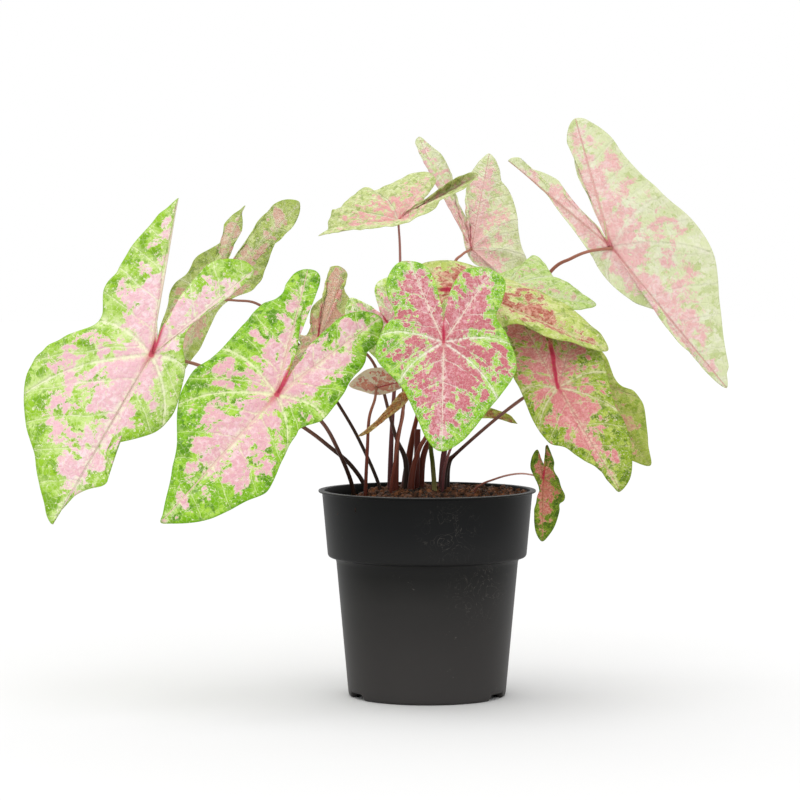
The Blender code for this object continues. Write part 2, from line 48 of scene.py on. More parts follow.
# Kinds of shader node: type, inputs in order, output (None for all) and settings. A kind that
# isn't here is an operation of the Math node.
nodeKinds = {
    "attribute": ("Attribute", (), "Fac", {}),
    "vector": ("Attribute", (), "Vector", {}),
    "object": ("TexCoord", (), "Object", {}),
    "uv": ("UVMap", (), "UV", {"uv_map": "surface"}),
    "cameraRay": ("LightPath", (), "Is Camera Ray", {}),
    "stretch": ("Mapping", ("Vector", "Scale"), 0, {}),
    "split": ("SeparateXYZ", (0,), None, {}),
    "join": ("CombineXYZ", (0, 1, 2), 0, {}),
    "noise": ("TexNoise", ("Vector", "Scale", "Detail", "Roughness", "Distortion"), "Fac", {}),
    "cells": ("TexVoronoi", ("Vector", "Scale"), "Distance", {"feature": "DISTANCE_TO_EDGE"}),
    "linear": ("MapRange", ("Value", "From Min", "From Max"), "Result", {}),
    "smooth": ("MapRange", ("Value", "From Min", "From Max"), "Result",
               {"interpolation_type": "SMOOTHSTEP"}),
    "mix": ("Mix", ("Factor", 6, 7), 2, {"data_type": "RGBA"}),
    "mixValue": ("Mix", (0, 2, 3), 0, {}),
    "ramp": ("ValToRGB", ("Fac",), "Color", {}),
    "distance": ("VectorMath", (0, 1), "Value", {"operation": "DISTANCE"}),
    "length": ("VectorMath", (0,), "Value", {"operation": "LENGTH"}),
    "times": ("VectorMath", (0, 1), 0, {"operation": "MULTIPLY"}),
    "bump": ("Bump", ("Height", "Strength", "Distance"), "Normal", {}),
}


def hexColor(text):
    # A sRGB hex value as linear red, green, blue and alpha.
    parts = [int(text[i:i + 2], 16) / 255.0 for i in (1, 3, 5)]
    linear = [p / 12.92 if p <= 0.04045 else ((p + 0.055) / 1.055) ** 2.4 for p in parts]
    return (*linear, 1.0)


class Wire:
    # An output socket that formulas are written with: each operator adds its Math node.
    def __init__(self, socket):
        self.socket = socket

    def __add__(self, other):
        return addNode(self.socket.id_data, "ADD", self, other)

    def __sub__(self, other):
        return addNode(self.socket.id_data, "SUBTRACT", self, other)

    def __rsub__(self, other):
        return addNode(self.socket.id_data, "SUBTRACT", other, self)

    def __mul__(self, other):
        return addNode(self.socket.id_data, "MULTIPLY", self, other)

    def __truediv__(self, other):
        return addNode(self.socket.id_data, "DIVIDE", self, other)

    def __abs__(self):
        return addNode(self.socket.id_data, "ABSOLUTE", self)


def put(value, socket):
    # Links a wire to the socket, or sets it to a number, vector or hex colour.
    if isinstance(value, Wire):
        socket.id_data.links.new(value.socket, socket)
    else:
        socket.default_value = hexColor(value) if isinstance(value, str) else value


def addNode(tree, kind, *values, stops=(), **settings):
    # A shader node with its inputs, its settings and, for a ramp, its stops as (position, hex
    # colour) from first to last. It returns the output, or all of them.
    form, keys, output, fixed = nodeKinds.get(kind, ("Math", (0, 1, 2), 0, {"operation": kind}))
    node = tree.nodes.new("ShaderNode" + form)
    for key, value in {**fixed, **settings}.items():
        setattr(node, key, value)
    for key, value in zip(keys, values):
        put(value, node.inputs[key])
    if stops:
        elements = node.color_ramp.elements
        for element, (position, shade) in zip(elements, (stops[0], stops[-1])):
            element.position, element.color = position, hexColor(shade)
        for position, shade in stops[1:-1]:
            elements.new(position).color = hexColor(shade)
    if output is None:
        return [Wire(socket) for socket in node.outputs]
    return Wire(node.outputs[output])


def newMaterial(name, **sockets):
    # A material whose Principled shader has these sockets set, and what adds a node to it.
    material = bpy.data.materials.new(name)
    material.use_nodes = True
    for key, value in sockets.items():
        put(value, material.node_tree.nodes["Principled BSDF"].inputs[key.replace("_", " ")])
    return material, functools.partial(addNode, material.node_tree)


def finishMaterial(material, color, height, strength, depth):
    # Colour and bump to the shader. The bump is depth metres deep.
    tree = material.node_tree
    shader = tree.nodes["Principled BSDF"]
    put(color, shader.inputs["Base Color"])
    put(addNode(tree, "bump", height, strength, depth), shader.inputs["Normal"])
    return material


def inDepth(x, z, y):
    # Metres, of the point seen at (x, z) that lies at depth y: both grow with distance.
    grow = 1.0 + np.asarray(y, float) / eye["back"]
    across = eye["x"] + (np.asarray(x, float) - eye["x"]) * grow
    up = eye["height"] + (np.asarray(z, float) - eye["height"]) * grow
    return np.stack([across, np.asarray(y) + 0.0 * across, up], axis=-1) * mm


def smoothThrough(points, count, closed):
    # Catmull-Rom: each stretch is the cubic that leaves and arrives along its neighbours.
    points = np.asarray(points, float)
    if closed:
        before, after = np.roll(points, 1, 0), np.roll(points, -1, 0)
        start, end, last = points, after, np.roll(points, -2, 0)
    else:
        padded = np.vstack([2 * points[0] - points[1], points, 2 * points[-1] - points[-2]])
        before, start, end, last = padded[:-3], padded[1:-2], padded[2:-1], padded[3:]
    t = (np.arange(count) / count)[None, :, None]
    a, b, c, d = (p[:, None, :] for p in (before, start, end, last))
    curve = 0.5 * (2 * b + (c - a) * t + (2 * a - 5 * b + 4 * c - d) * t**2
                   + (3 * b - a - 3 * c + d) * t**3)
    curve = curve.reshape(-1, points.shape[1])
    return curve if closed else np.vstack([curve, points[-1]])


def ringQuads(rows, sides):
    # Faces between closed rings of points that are stored ring by ring.
    i = np.arange(sides)
    j = (i + 1) % sides
    row = (np.arange(rows - 1) * sides)[:, None]
    quads = np.stack([row + i, row + sides + i, row + sides + j, row + j], axis=-1)
    return quads.reshape(-1, 4), i, j


def tubeFaces(rows, sides):
    # Those faces, and fans that close the ends with the two points stored after the rings.
    quads, i, j = ringQuads(rows, sides)
    hub, last = 0 * i + rows * sides, (rows - 1) * sides
    return [quads, np.stack([hub, i, j], 1), np.stack([hub + 1, last + j, last + i], 1)]


def newPiece(name, points, faces, material, replaces=(), values=None, uv=None,
             smooth=True):
    # A mesh at the origin, turned outward by the sign of its volume.
    mesh = bpy.data.meshes.new(name)
    fans = [f[:, [0, k, k + 1]] for f in faces for k in range(1, f.shape[1] - 1)]
    a, b, c = (points[column] for column in np.vstack(fans).T)
    if np.einsum("ij,ij->", a, np.cross(b, c)) < 0:
        faces = [f[:, ::-1] for f in faces]
    mesh.from_pydata(points, [], [face for f in faces for face in f.tolist()])
    for key, numbers in (values or {}).items():
        numbers = np.asarray(numbers, np.float32)
        kind, field = ("FLOAT_VECTOR", "vector") if numbers.ndim == 2 else ("FLOAT", "value")
        mesh.attributes.new(key, kind, "POINT").data.foreach_set(field, numbers.ravel())
    if uv is not None:
        corners = np.empty(len(mesh.loops), np.int32)
        mesh.loops.foreach_get("vertex_index", corners)
        layer = mesh.uv_layers.new(name="surface")
        layer.data.foreach_set("uv", np.asarray(uv, np.float32)[corners].ravel())
    mesh.materials.append(material)
    if smooth:
        mesh.shade_smooth()
    mesh.update()
    piece = bpy.data.objects.new(name, mesh)
    bpy.context.scene.collection.objects.link(piece)
    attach(piece, "root")
    if replaces:
        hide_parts(*replaces)


# Camera, light and floor: a white studio sweep under broad soft light. The sweep behind is
# brighter to the camera (backdrop) than the light it gives (ambient).
studio = {
    "floor": "#dcdcdc", "reach": 9.0, "ambient": 0.87, "backdrop": 1.0,
    "lamps": {
        "key": {"turn": (20.0, 0.0, -30.0), "strength": 0.8, "angle": 50.0},
        "fill": {"turn": (66.0, 0.0, 10.0), "strength": 0.42, "angle": 70.0},
        "back": {"turn": (-34.0, 0.0, 14.0), "strength": 1.05, "angle": 60.0},
    },
}


def makeStudio():
    scene = bpy.context.scene
    scene.view_settings.view_transform = "Standard"
    cameraData = bpy.data.cameras.new("camera")
    cameraData.lens = eye["lens"]
    camera = bpy.data.objects.new("camera", cameraData)
    camera.location = (eye["x"] * mm, -eye["back"] * mm, eye["height"] * mm)
    camera.rotation_euler = (math.radians(90.0 - eye["pitch"]), 0.0, 0.0)
    scene.collection.objects.link(camera)
    scene.camera = camera
    for name, look in studio["lamps"].items():
        lamp = bpy.data.lights.new(name, "SUN")
        lamp.energy, lamp.angle = look["strength"], math.radians(look["angle"])
        lampObject = bpy.data.objects.new(name, lamp)
        lampObject.rotation_euler = [math.radians(a) for a in look["turn"]]
        scene.collection.objects.link(lampObject)
    world = bpy.data.worlds.new("studio")
    world.use_nodes = True
    background = world.node_tree.nodes["Background"]
    put("#ffffff", background.inputs["Color"])
    seen = addNode(world.node_tree, "cameraRay")
    extra = studio["backdrop"] - studio["ambient"]
    strength = addNode(world.node_tree, "MULTIPLY_ADD", seen, extra, studio["ambient"])
    put(strength, background.inputs["Strength"])
    scene.world = world
    paper = newMaterial("sweepPaper", Roughness=0.9, Base_Color=studio["floor"],
                        Specular_IOR_Level=0.0)[0]
    r = studio["reach"]
    mesh = bpy.data.meshes.new("floor")
    mesh.from_pydata([(-r, -r, 0), (r, -r, 0), (r, r, 0), (-r, r, 0)], [], [(0, 1, 2, 3)])
    mesh.materials.append(paper)
    floor = bpy.data.objects.new("floor", mesh)
    scene.collection.objects.link(floor)


makeStudio()
print("studio made")

# The blades. attach is where the petiole joins, depth its depth, tilt how much the blade goes
# back for each millimetre right and up, and stem the side the petiole is on (1 behind), all as
# in the solids. outline is the margin from the tip round, at most a little finer than theirs,
# with a third number, the depth, where it leaves the plane. lobes and sinus are places in it.
# look names the finish, and seed moves its pattern.
leaves = {
    "far_left": {"attach": (-152, 188), "depth": -25, "tilt": (-0.08, 0.42), "stem": 1,
                 "lobes": (31, 52), "sinus": 43, "look": "rose", "seed": 1.0, "outline": (
        (-206.5, 94.5), (-202, 101.5), (-197, 107.5), (-193.5, 111), (-187, 114), (-179.5, 115.5),
        (-176.5, 118), (-176.5, 121.5), (-177.5, 125), (-176.5, 129), (-177, 134.5), (-175.5, 137),
        (-170.5, 139.5), (-161.5, 141.5), (-153.5, 144), (-148.5, 146.5), (-143.5, 151),
        (-139.5, 156.5), (-137, 163.5), (-135, 171), (-133.5, 178.5), (-133.5, 185), (-134.5, 191),
        (-134, 196.5), (-132.5, 201), (-128.5, 206), (-123.5, 210.5), (-115, 216.5), (-109, 220.5),
        (-102.5, 225), (-97.5, 230), (-95, 235), (-99, 239), (-104, 240.5), (-110, 241),
        (-116, 240), (-121.5, 237), (-125.5, 232.5), (-129.5, 228.5), (-132.5, 224),
        (-138.5, 214.5), (-142, 209), (-146, 200.5), (-148, 197), (-148.5, 207.5), (-147.5, 218),
        (-146.5, 228), (-145, 239.5), (-143.5, 247), (-142, 253.5), (-140, 263.5), (-138.5, 271),
        (-137, 274.5), (-139.5, 272.5), (-143, 269), (-147.5, 265.5), (-151, 261), (-155.5, 256),
        (-159.5, 251.5), (-163, 247), (-166, 242), (-169, 237), (-171, 233), (-175.5, 228.5),
        (-178, 224), (-178.5, 219.5), (-178.5, 214), (-179, 210.5), (-181, 207), (-185, 204),
        (-191.5, 201.5), (-198, 199), (-203, 196), (-208.5, 193.5), (-212, 190), (-215.5, 187),
        (-218, 182.5), (-220.5, 177.5), (-222, 171), (-222.5, 165), (-222, 157), (-221, 148),
        (-218.5, 139.5), (-216.5, 133), (-215.5, 124), (-213.5, 114), (-211.5, 106.5),
        (-210, 99))},
    "back_left": {"attach": (-123, 218), "depth": 38, "tilt": (0.05, -0.3), "stem": -1,
                  "lobes": (22, 44), "sinus": 35, "look": "dusky", "seed": 2.0, "outline": (
        (-143, 164), (-138, 172), (-132, 182.5), (-128.5, 187), (-125, 191.5), (-122, 198),
        (-118.5, 205.5), (-115.5, 211.5), (-111, 216.5), (-104, 220.5), (-97, 223), (-93.5, 226.5),
        (-91, 229.5), (-89.5, 234), (-87.5, 239), (-86, 243.5), (-84, 248.5), (-81.5, 252.5),
        (-77, 255.5), (-73.5, 259), (-71.5, 262.5), (-70, 267), (-70, 271.5), (-71.5, 273),
        (-75, 273.5), (-80, 273), (-84.5, 270.5), (-87.5, 267), (-91, 264), (-94, 260), (-97, 255),
        (-100, 250), (-101.5, 246), (-105, 240.5), (-110.5, 233.5), (-118, 226), (-114.5, 232.5),
        (-110.5, 239), (-108, 243.5), (-106.5, 248.5), (-104.5, 252.5), (-102, 256),
        (-101.5, 261.5), (-102, 267), (-100.5, 270.5), (-103, 268), (-106.5, 265.5),
        (-109.5, 262.5), (-111.5, 259.5), (-112, 255.5), (-112, 251.5), (-115, 249), (-120, 246),
        (-125.5, 243), (-128.5, 240), (-130, 236.5), (-132.5, 232.5), (-137.5, 229), (-140.5, 225),
        (-142, 221), (-142.5, 216.5), (-144, 211.5), (-146.5, 205), (-148.5, 197.5), (-150, 190.5),
        (-150.5, 180), (-148.5, 171))},
    "front_left": {"attach": (-83, 166), "depth": -62, "tilt": (0.1, 0.5), "stem": 1,
                   "lobes": (33, 59), "sinus": 45, "look": "vivid", "seed": 3.0, "outline": (
        (-147, 95.5), (-140.5, 95), (-133, 95), (-125.5, 96), (-118, 98), (-110.5, 101.5),
        (-103, 105.5), (-98, 108), (-90.5, 111), (-87.5, 113.5), (-85, 118), (-83, 122.5),
        (-81, 127.5), (-78.5, 132.5), (-75.5, 139), (-72, 144), (-70.5, 147), (-66.5, 149),
        (-63, 150), (-59, 151.5), (-56, 154), (-53, 157.5), (-49, 162.5), (-45.5, 167.5),
        (-43, 172.5), (-40, 176.5), (-36.5, 180), (-34, 184.5), (-33, 189.5), (-29.5, 192.5),
        (-26.5, 196), (-25, 201.5), (-24, 205), (-25.5, 209), (-29, 211), (-34, 212),
        (-40.5, 211.5), (-45.5, 210), (-50, 207), (-53.5, 203.5), (-58, 200), (-61, 196),
        (-65.5, 190.5), (-69.5, 185), (-73, 181), (-76, 178), (-74, 184), (-71.5, 191), (-71, 195),
        (-70.5, 200), (-70, 204), (-69.5, 209), (-68.5, 214), (-66, 217.5), (-63.5, 220),
        (-60.5, 223.5), (-59, 227.5), (-59, 231.5), (-61.5, 234.5), (-65.5, 235.5), (-69, 235),
        (-73, 233), (-76, 229.5), (-78, 226.5), (-79, 223), (-81, 220.5), (-84, 218.5),
        (-87, 217.5), (-90, 216.5), (-93, 214), (-96, 211), (-99, 207), (-102.5, 203.5),
        (-106.5, 199), (-111, 194), (-115.5, 189.5), (-120, 185.5), (-125.5, 182), (-129, 179),
        (-132, 174.5), (-134.5, 170), (-136.5, 165), (-137.5, 160), (-138, 154), (-138, 146.5),
        (-138, 139), (-139, 132.5), (-140.5, 126.5), (-141.5, 120), (-143, 113.5), (-144.5, 107.5),
        (-146, 100))},
    "mid_left": {"attach": (-60, 195), "depth": 8, "tilt": (0.0, -0.15), "stem": -1,
                 "lobes": (11, 26), "sinus": 18, "look": "blush", "seed": 4.0, "outline": (
        (-76, 160), (-58, 168), (-45, 182), (-40, 200), (-42, 215.5), (-43, 219.5), (-45, 222.5),
        (-46, 226.5), (-45.5, 229), (-44, 230.5), (-44, 233), (-46, 235.5), (-49, 237),
        (-53, 236.5), (-54, 234.5), (-55, 231.5), (-55.5, 226.5), (-56, 222), (-58, 219.5),
        (-61, 217), (-63.5, 214), (-64.5, 209.5), (-64, 206.5), (-64.5, 203), (-66.5, 199),
        (-69, 198.5), (-71.5, 199), (-71, 196.5), (-70, 194), (-74, 190.5), (-79.5, 184.5),
        (-81.5, 171))},
    "mid_front": {"attach": (-22, 206), "depth": -20, "tilt": (0.05, 0.25), "stem": 1,
                  "lobes": (4, 10), "sinus": 7, "look": "fresh", "seed": 5.0, "outline": (
        (0, 168), (-15, 174), (-26, 184), (-37, 195), (-45, 208), (-43, 219), (-35, 217),
        (-26, 211), (-29, 223), (-26, 229), (-16, 231), (-8, 224), (-1, 210), (3, 193), (4, 179))},
    "front_center": {"attach": (9, 195), "depth": -68, "tilt": (0.0, 0.35), "stem": 1,
                     "lobes": (9, 18), "sinus": 14, "look": "deep", "seed": 6.0, "outline": (
        (8, 135), (20, 141), (34, 158), (47, 175), (49, 185), (44, 199), (38, 209), (41, 217),
        (43, 228), (36, 235), (26, 236), (19, 234), (14, 226), (11, 217), (9, 207), (7, 218),
        (4, 229), (-1, 237), (-10, 240), (-17, 238), (-22, 230), (-22, 221), (-18, 210),
        (-24, 203), (-28, 193), (-27, 184), (-14, 170), (-6, 154), (0, 141))},
    "top_left": {"attach": (-16, 262), "depth": 26, "tilt": (-0.1, 1.1), "stem": 1,
                 "lobes": (21, 36), "sinus": 27, "look": "under", "seed": 7.0, "outline": (
        (-60, 254, 24), (-56, 256, 29), (-54.5, 257.5, 32), (-54.5, 261, 36), (-53, 264.5, 40),
        (-52.5, 267.5, 43), (-51.5, 268.5, 44), (-48, 269, 47), (-46.5, 270.5, 49),
        (-43.5, 273.5, 52), (-39.5, 276.5, 55), (-36, 279.5, 59), (-32, 280.5, 60),
        (-30.5, 279, 60), (-27.5, 279, 60), (-24, 280.5, 60), (-19, 282.5, 61), (-14, 285, 62),
        (-9, 287.5, 61), (-4, 288.5, 59), (0, 288.5, 58), (3, 287.5, 55), (4.5, 285, 52),
        (4.5, 282.5, 49), (2, 278.5, 45), (-2, 274.5, 41), (-5.5, 271, 36), (-9.5, 268, 31),
        (-5.5, 270, 29), (-2, 272.5, 27), (2, 276, 24), (7, 279.5, 21), (12, 283, 17),
        (16.5, 285.5, 14), (20.5, 287, 12), (24.5, 288, 10), (27.5, 287, 8), (26, 285, 7),
        (23, 282, 4), (20.5, 279.5, 3), (16.5, 277.5, 2), (11.5, 275, 0), (7, 273, -1),
        (6, 271, -1), (4.5, 268.5, -2), (1, 266.5, -2), (-2, 265, -3), (-6.5, 263.5, -3),
        (-10.5, 261.5, -3), (-14, 260, -4), (-17.5, 259, -4), (-20.5, 258.5, -4), (-24, 258.5, -4),
        (-29, 257.5, -2), (-34, 257.5, 0), (-39.5, 257, 3), (-44, 256.5, 7), (-47, 256.5, 9),
        (-48.5, 255.5, 11), (-52, 255, 14), (-55, 254.5, 19))},
    "top_center": {"attach": (24, 246), "depth": 70, "tilt": (0.15, 0.2), "stem": -1,
                   "lobes": (17, 41), "sinus": 28, "look": "pale", "seed": 8.0, "outline": (
        (57, 218), (57, 225.5), (56, 232), (55.5, 238), (54, 242), (52, 247), (51, 251), (50, 257),
        (49.5, 263.5), (48.5, 268.5), (47, 273.5), (45, 278), (42.5, 281.5), (40.5, 284),
        (40, 288.5), (38.5, 293), (36.5, 296.5), (34, 298.5), (32, 297.5), (29, 295), (27, 292.5),
        (24.5, 289), (23.5, 287), (22, 282), (21.5, 278.5), (22, 273.5), (23, 268.5),
        (22.5, 264.5), (23, 259), (21.5, 263.5), (19.5, 267), (17.5, 271), (16, 276),
        (14.5, 281.5), (13.5, 287), (11.5, 291.5), (9.5, 295.5), (7, 299), (3, 302), (-0.5, 305),
        (-3, 307), (-5, 307.5), (-6.5, 306), (-6.5, 303.5), (-4.5, 301), (-1.5, 297), (2, 294),
        (5, 290), (7, 286), (9, 282), (11.5, 277), (14, 272), (16, 267), (17.5, 261.5), (19, 256),
        (20, 251), (21, 246.5), (23, 242), (26, 238), (30.5, 236), (35, 235), (39, 233.5),
        (41.5, 232), (48, 224), (52.5, 220.5))},
    "right_upper": {"attach": (45, 225), "depth": 24, "tilt": (0.0, 1.6), "stem": 1,
                    "lobes": (5, 7), "sinus": 6, "look": "lime", "seed": 9.0, "outline": (
        (93, 216, 14), (85, 213, 8), (73, 213, 5), (57, 215, 4), (43, 216, 6), (34, 220, 12),
        (39, 225, 22), (35, 230, 34), (43, 234, 44), (52, 238, 50), (58, 243, 52), (64, 239, 46),
        (69, 232, 36), (77, 228, 28), (85, 222, 20))},
    "right_middle": {"attach": (22, 224), "depth": -28, "tilt": (0.0, 0.8), "stem": 1,
                     "lobes": (10, 13), "sinus": 11, "look": "olive", "seed": 10.0, "outline": (
        (100, 191, -34), (92, 191, -40), (79, 195, -46), (65, 198, -48), (57, 203, -46),
        (48, 205, -45), (38, 203, -45), (26, 201, -46), (12, 204, -44), (1, 210, -40),
        (-4, 216, -35), (2, 223, -28), (-5, 231, -18), (-4, 238, -12), (6, 240, -10),
        (20, 239, -8), (31, 236, -8), (42, 231, -8), (58, 225, -9), (68, 220, -12), (79, 214, -16),
        (88, 206, -22), (96, 199, -28))},
    "right_front": {"attach": (72, 170), "depth": -44, "tilt": (0.05, 0.4), "stem": 1,
                    "lobes": (8, 12), "sinus": 10, "look": "shade", "seed": 11.0, "outline": (
        (107, 113), (112, 120), (113, 131), (110, 148), (103, 162), (100, 174), (97, 185, -32),
        (91, 197, -20), (82, 206, -10), (72, 207, -8), (66, 201, -22), (56, 209, -14),
        (46, 217, -6), (41, 211, -8), (42, 196, -20), (47, 177, -36), (51.5, 168.5), (57, 154.5),
        (61.5, 146.5), (65, 142), (69, 138.5), (76, 137), (81.5, 133), (87, 129.5), (92.5, 126.5),
        (95.5, 124), (99, 119), (103.5, 114.5))},
    "right_back": {"attach": (90, 171), "depth": -10, "tilt": (0.0, 0.3), "stem": 1,
                   "lobes": (6, 9), "sinus": 7, "look": "back", "seed": 12.0, "outline": (
        (123, 127), (112, 130), (98, 136), (84, 149), (74, 166), (73, 182), (79, 191), (86, 181),
        (89, 190), (94, 192), (99, 186), (103, 176), (107, 171), (114, 168), (119, 161),
        (121, 149), (122, 138))},
    "far_right": {"attach": (101, 247), "depth": 52, "tilt": (0.1, -0.28), "stem": -1,
                  "lobes": (35, 67), "sinus": 51, "look": "pale", "seed": 13.0, "outline": (
        (165, 170), (161, 172), (156, 176.5), (152.5, 180), (149.5, 183.5), (146.5, 186.5),
        (145, 189.5), (143, 190.5), (140, 193), (137, 196), (134.5, 200), (133.5, 203.5),
        (132, 206), (131.5, 209.5), (129.5, 211.5), (125, 213), (120, 214.5), (114.5, 216.5),
        (109.5, 220), (105.5, 223), (101, 227), (97, 231.5), (93.5, 236.5), (90.5, 242),
        (86.5, 248), (82.5, 253.5), (78, 259.5), (74, 264.5), (69.5, 270.5), (66, 275.5),
        (62, 279.5), (58, 283.5), (54, 287.5), (50.5, 291.5), (47, 294.5), (44.5, 295),
        (46.5, 296.5), (50.5, 296.5), (52.5, 295), (54, 292.5), (56.5, 290.5), (61.5, 289),
        (66.5, 287), (71, 284.5), (72.5, 282.5), (72.5, 279), (76, 276), (80.5, 271.5),
        (85.5, 267), (89, 263.5), (93.5, 259), (97.5, 253), (98, 255.5), (97, 261), (95.5, 266),
        (93.5, 271), (90.5, 273.5), (87.5, 277), (85, 282), (82.5, 287), (81, 292.5),
        (80.5, 297.5), (79, 301), (77, 304), (76.5, 307), (77, 311.5), (78.5, 315.5), (81, 318),
        (85.5, 318), (89.5, 316), (94.5, 313), (99.5, 309), (103, 305), (105.5, 301), (109, 296.5),
        (114.5, 290.5), (119.5, 285.5), (125, 281), (129, 277), (134.5, 272), (139.5, 268),
        (144, 264), (148, 259.5), (152, 254), (155, 249), (157.5, 243), (159, 237), (160, 228.5),
        (160.5, 220.5), (161.5, 212), (162.5, 203.5), (163.5, 195), (165, 187), (166, 181.5),
        (165, 178), (165.5, 174))},
    "low_right": {"attach": (64, 120), "depth": -36, "tilt": (0.1, 0.2), "stem": 1,
                  "lobes": (13, 18), "sinus": 16, "look": "young", "seed": 14.0, "outline": (
        (63.5, 85), (67, 88), (70.5, 93.5), (73, 101.5), (73, 105.5), (75.5, 107.5), (76, 110.5),
        (74, 115), (72.5, 120), (70, 124.5), (70, 129), (68.5, 133.5), (67, 137), (66, 138.5),
        (65.5, 135.5), (65.5, 130), (65, 126.5), (63, 131), (61.5, 135.5), (59.5, 135),
        (57.5, 131), (57, 125.5), (59.5, 120), (61.5, 115.5), (62, 110), (60, 103.5), (59, 98),
        (60, 90))},
    "small_under": {"attach": (-28, 170), "depth": -6, "tilt": (0.0, -0.4), "stem": -1,
                    "lobes": (4, 6), "sinus": 5, "look": "rusty", "seed": 15.0, "outline": (
        (-43, 171), (-39, 176), (-33, 180), (-25, 181), (-16, 179), (-10, 174), (-14, 170),
        (-21, 167), (-28, 166), (-36, 168))},
    "dry_left": {"attach": (-14, 163), "depth": -14, "tilt": (0.0, 0.3), "stem": 1,
                 "lobes": (4, 6), "sinus": 5, "look": "dry", "seed": 16.0, "outline": (
        (-37.8, 143), (-30.8, 146), (-22.2, 153), (-14.5, 158.5), (-10.5, 163.5), (-10.5, 168.5),
        (-14.5, 167.5), (-18.3, 163), (-22.2, 158.5), (-30, 149.6))},
    "narrow_right": {"attach": (27, 157), "depth": -12, "tilt": (0.0, 0.3), "stem": 1,
                     "lobes": (4, 6), "sinus": 5, "look": "fading", "seed": 17.0, "outline": (
        (49.5, 149.8), (43.7, 151.6), (37.5, 152.8), (32, 153.2), (24, 153), (20, 157),
        (24, 161.5), (31, 160.5), (35.1, 158.8), (39.8, 157.2), (45.3, 155), (47.9, 152.4))},
}

# Sizes in mm. The relief is full from a blade of fullSize up, and less on a smaller one.
bladeSize = {"thickness": 0.5, "rays": 220, "rings": 30, "fullSize": 60.0, "wave": 1.1,
             "wavesRound": 7, "puff": 1.5, "puffWidth": 8.0, "sunkRib": 0.5, "sunkVein": 0.7,
             "sunkWidth": 2.5, "ripple": 0.4, "curl": 1.4, "curlFrom": 0.86, "fanBend": 0.10}
# Ribs run to the tip and the lobes. Two veins a side fan out between them, at these shares of
# the angle. Side veins leave a rib every 2 * half, lean to the tip and bend with distance.
veins = {"fan": (0.37, 0.70), "half": 10.0, "start": 5.0, "lean": 0.55, "bend": 0.004,
         "lobeHalf": 8.0, "lobeStart": 3.0, "lobeLean": 0.7}

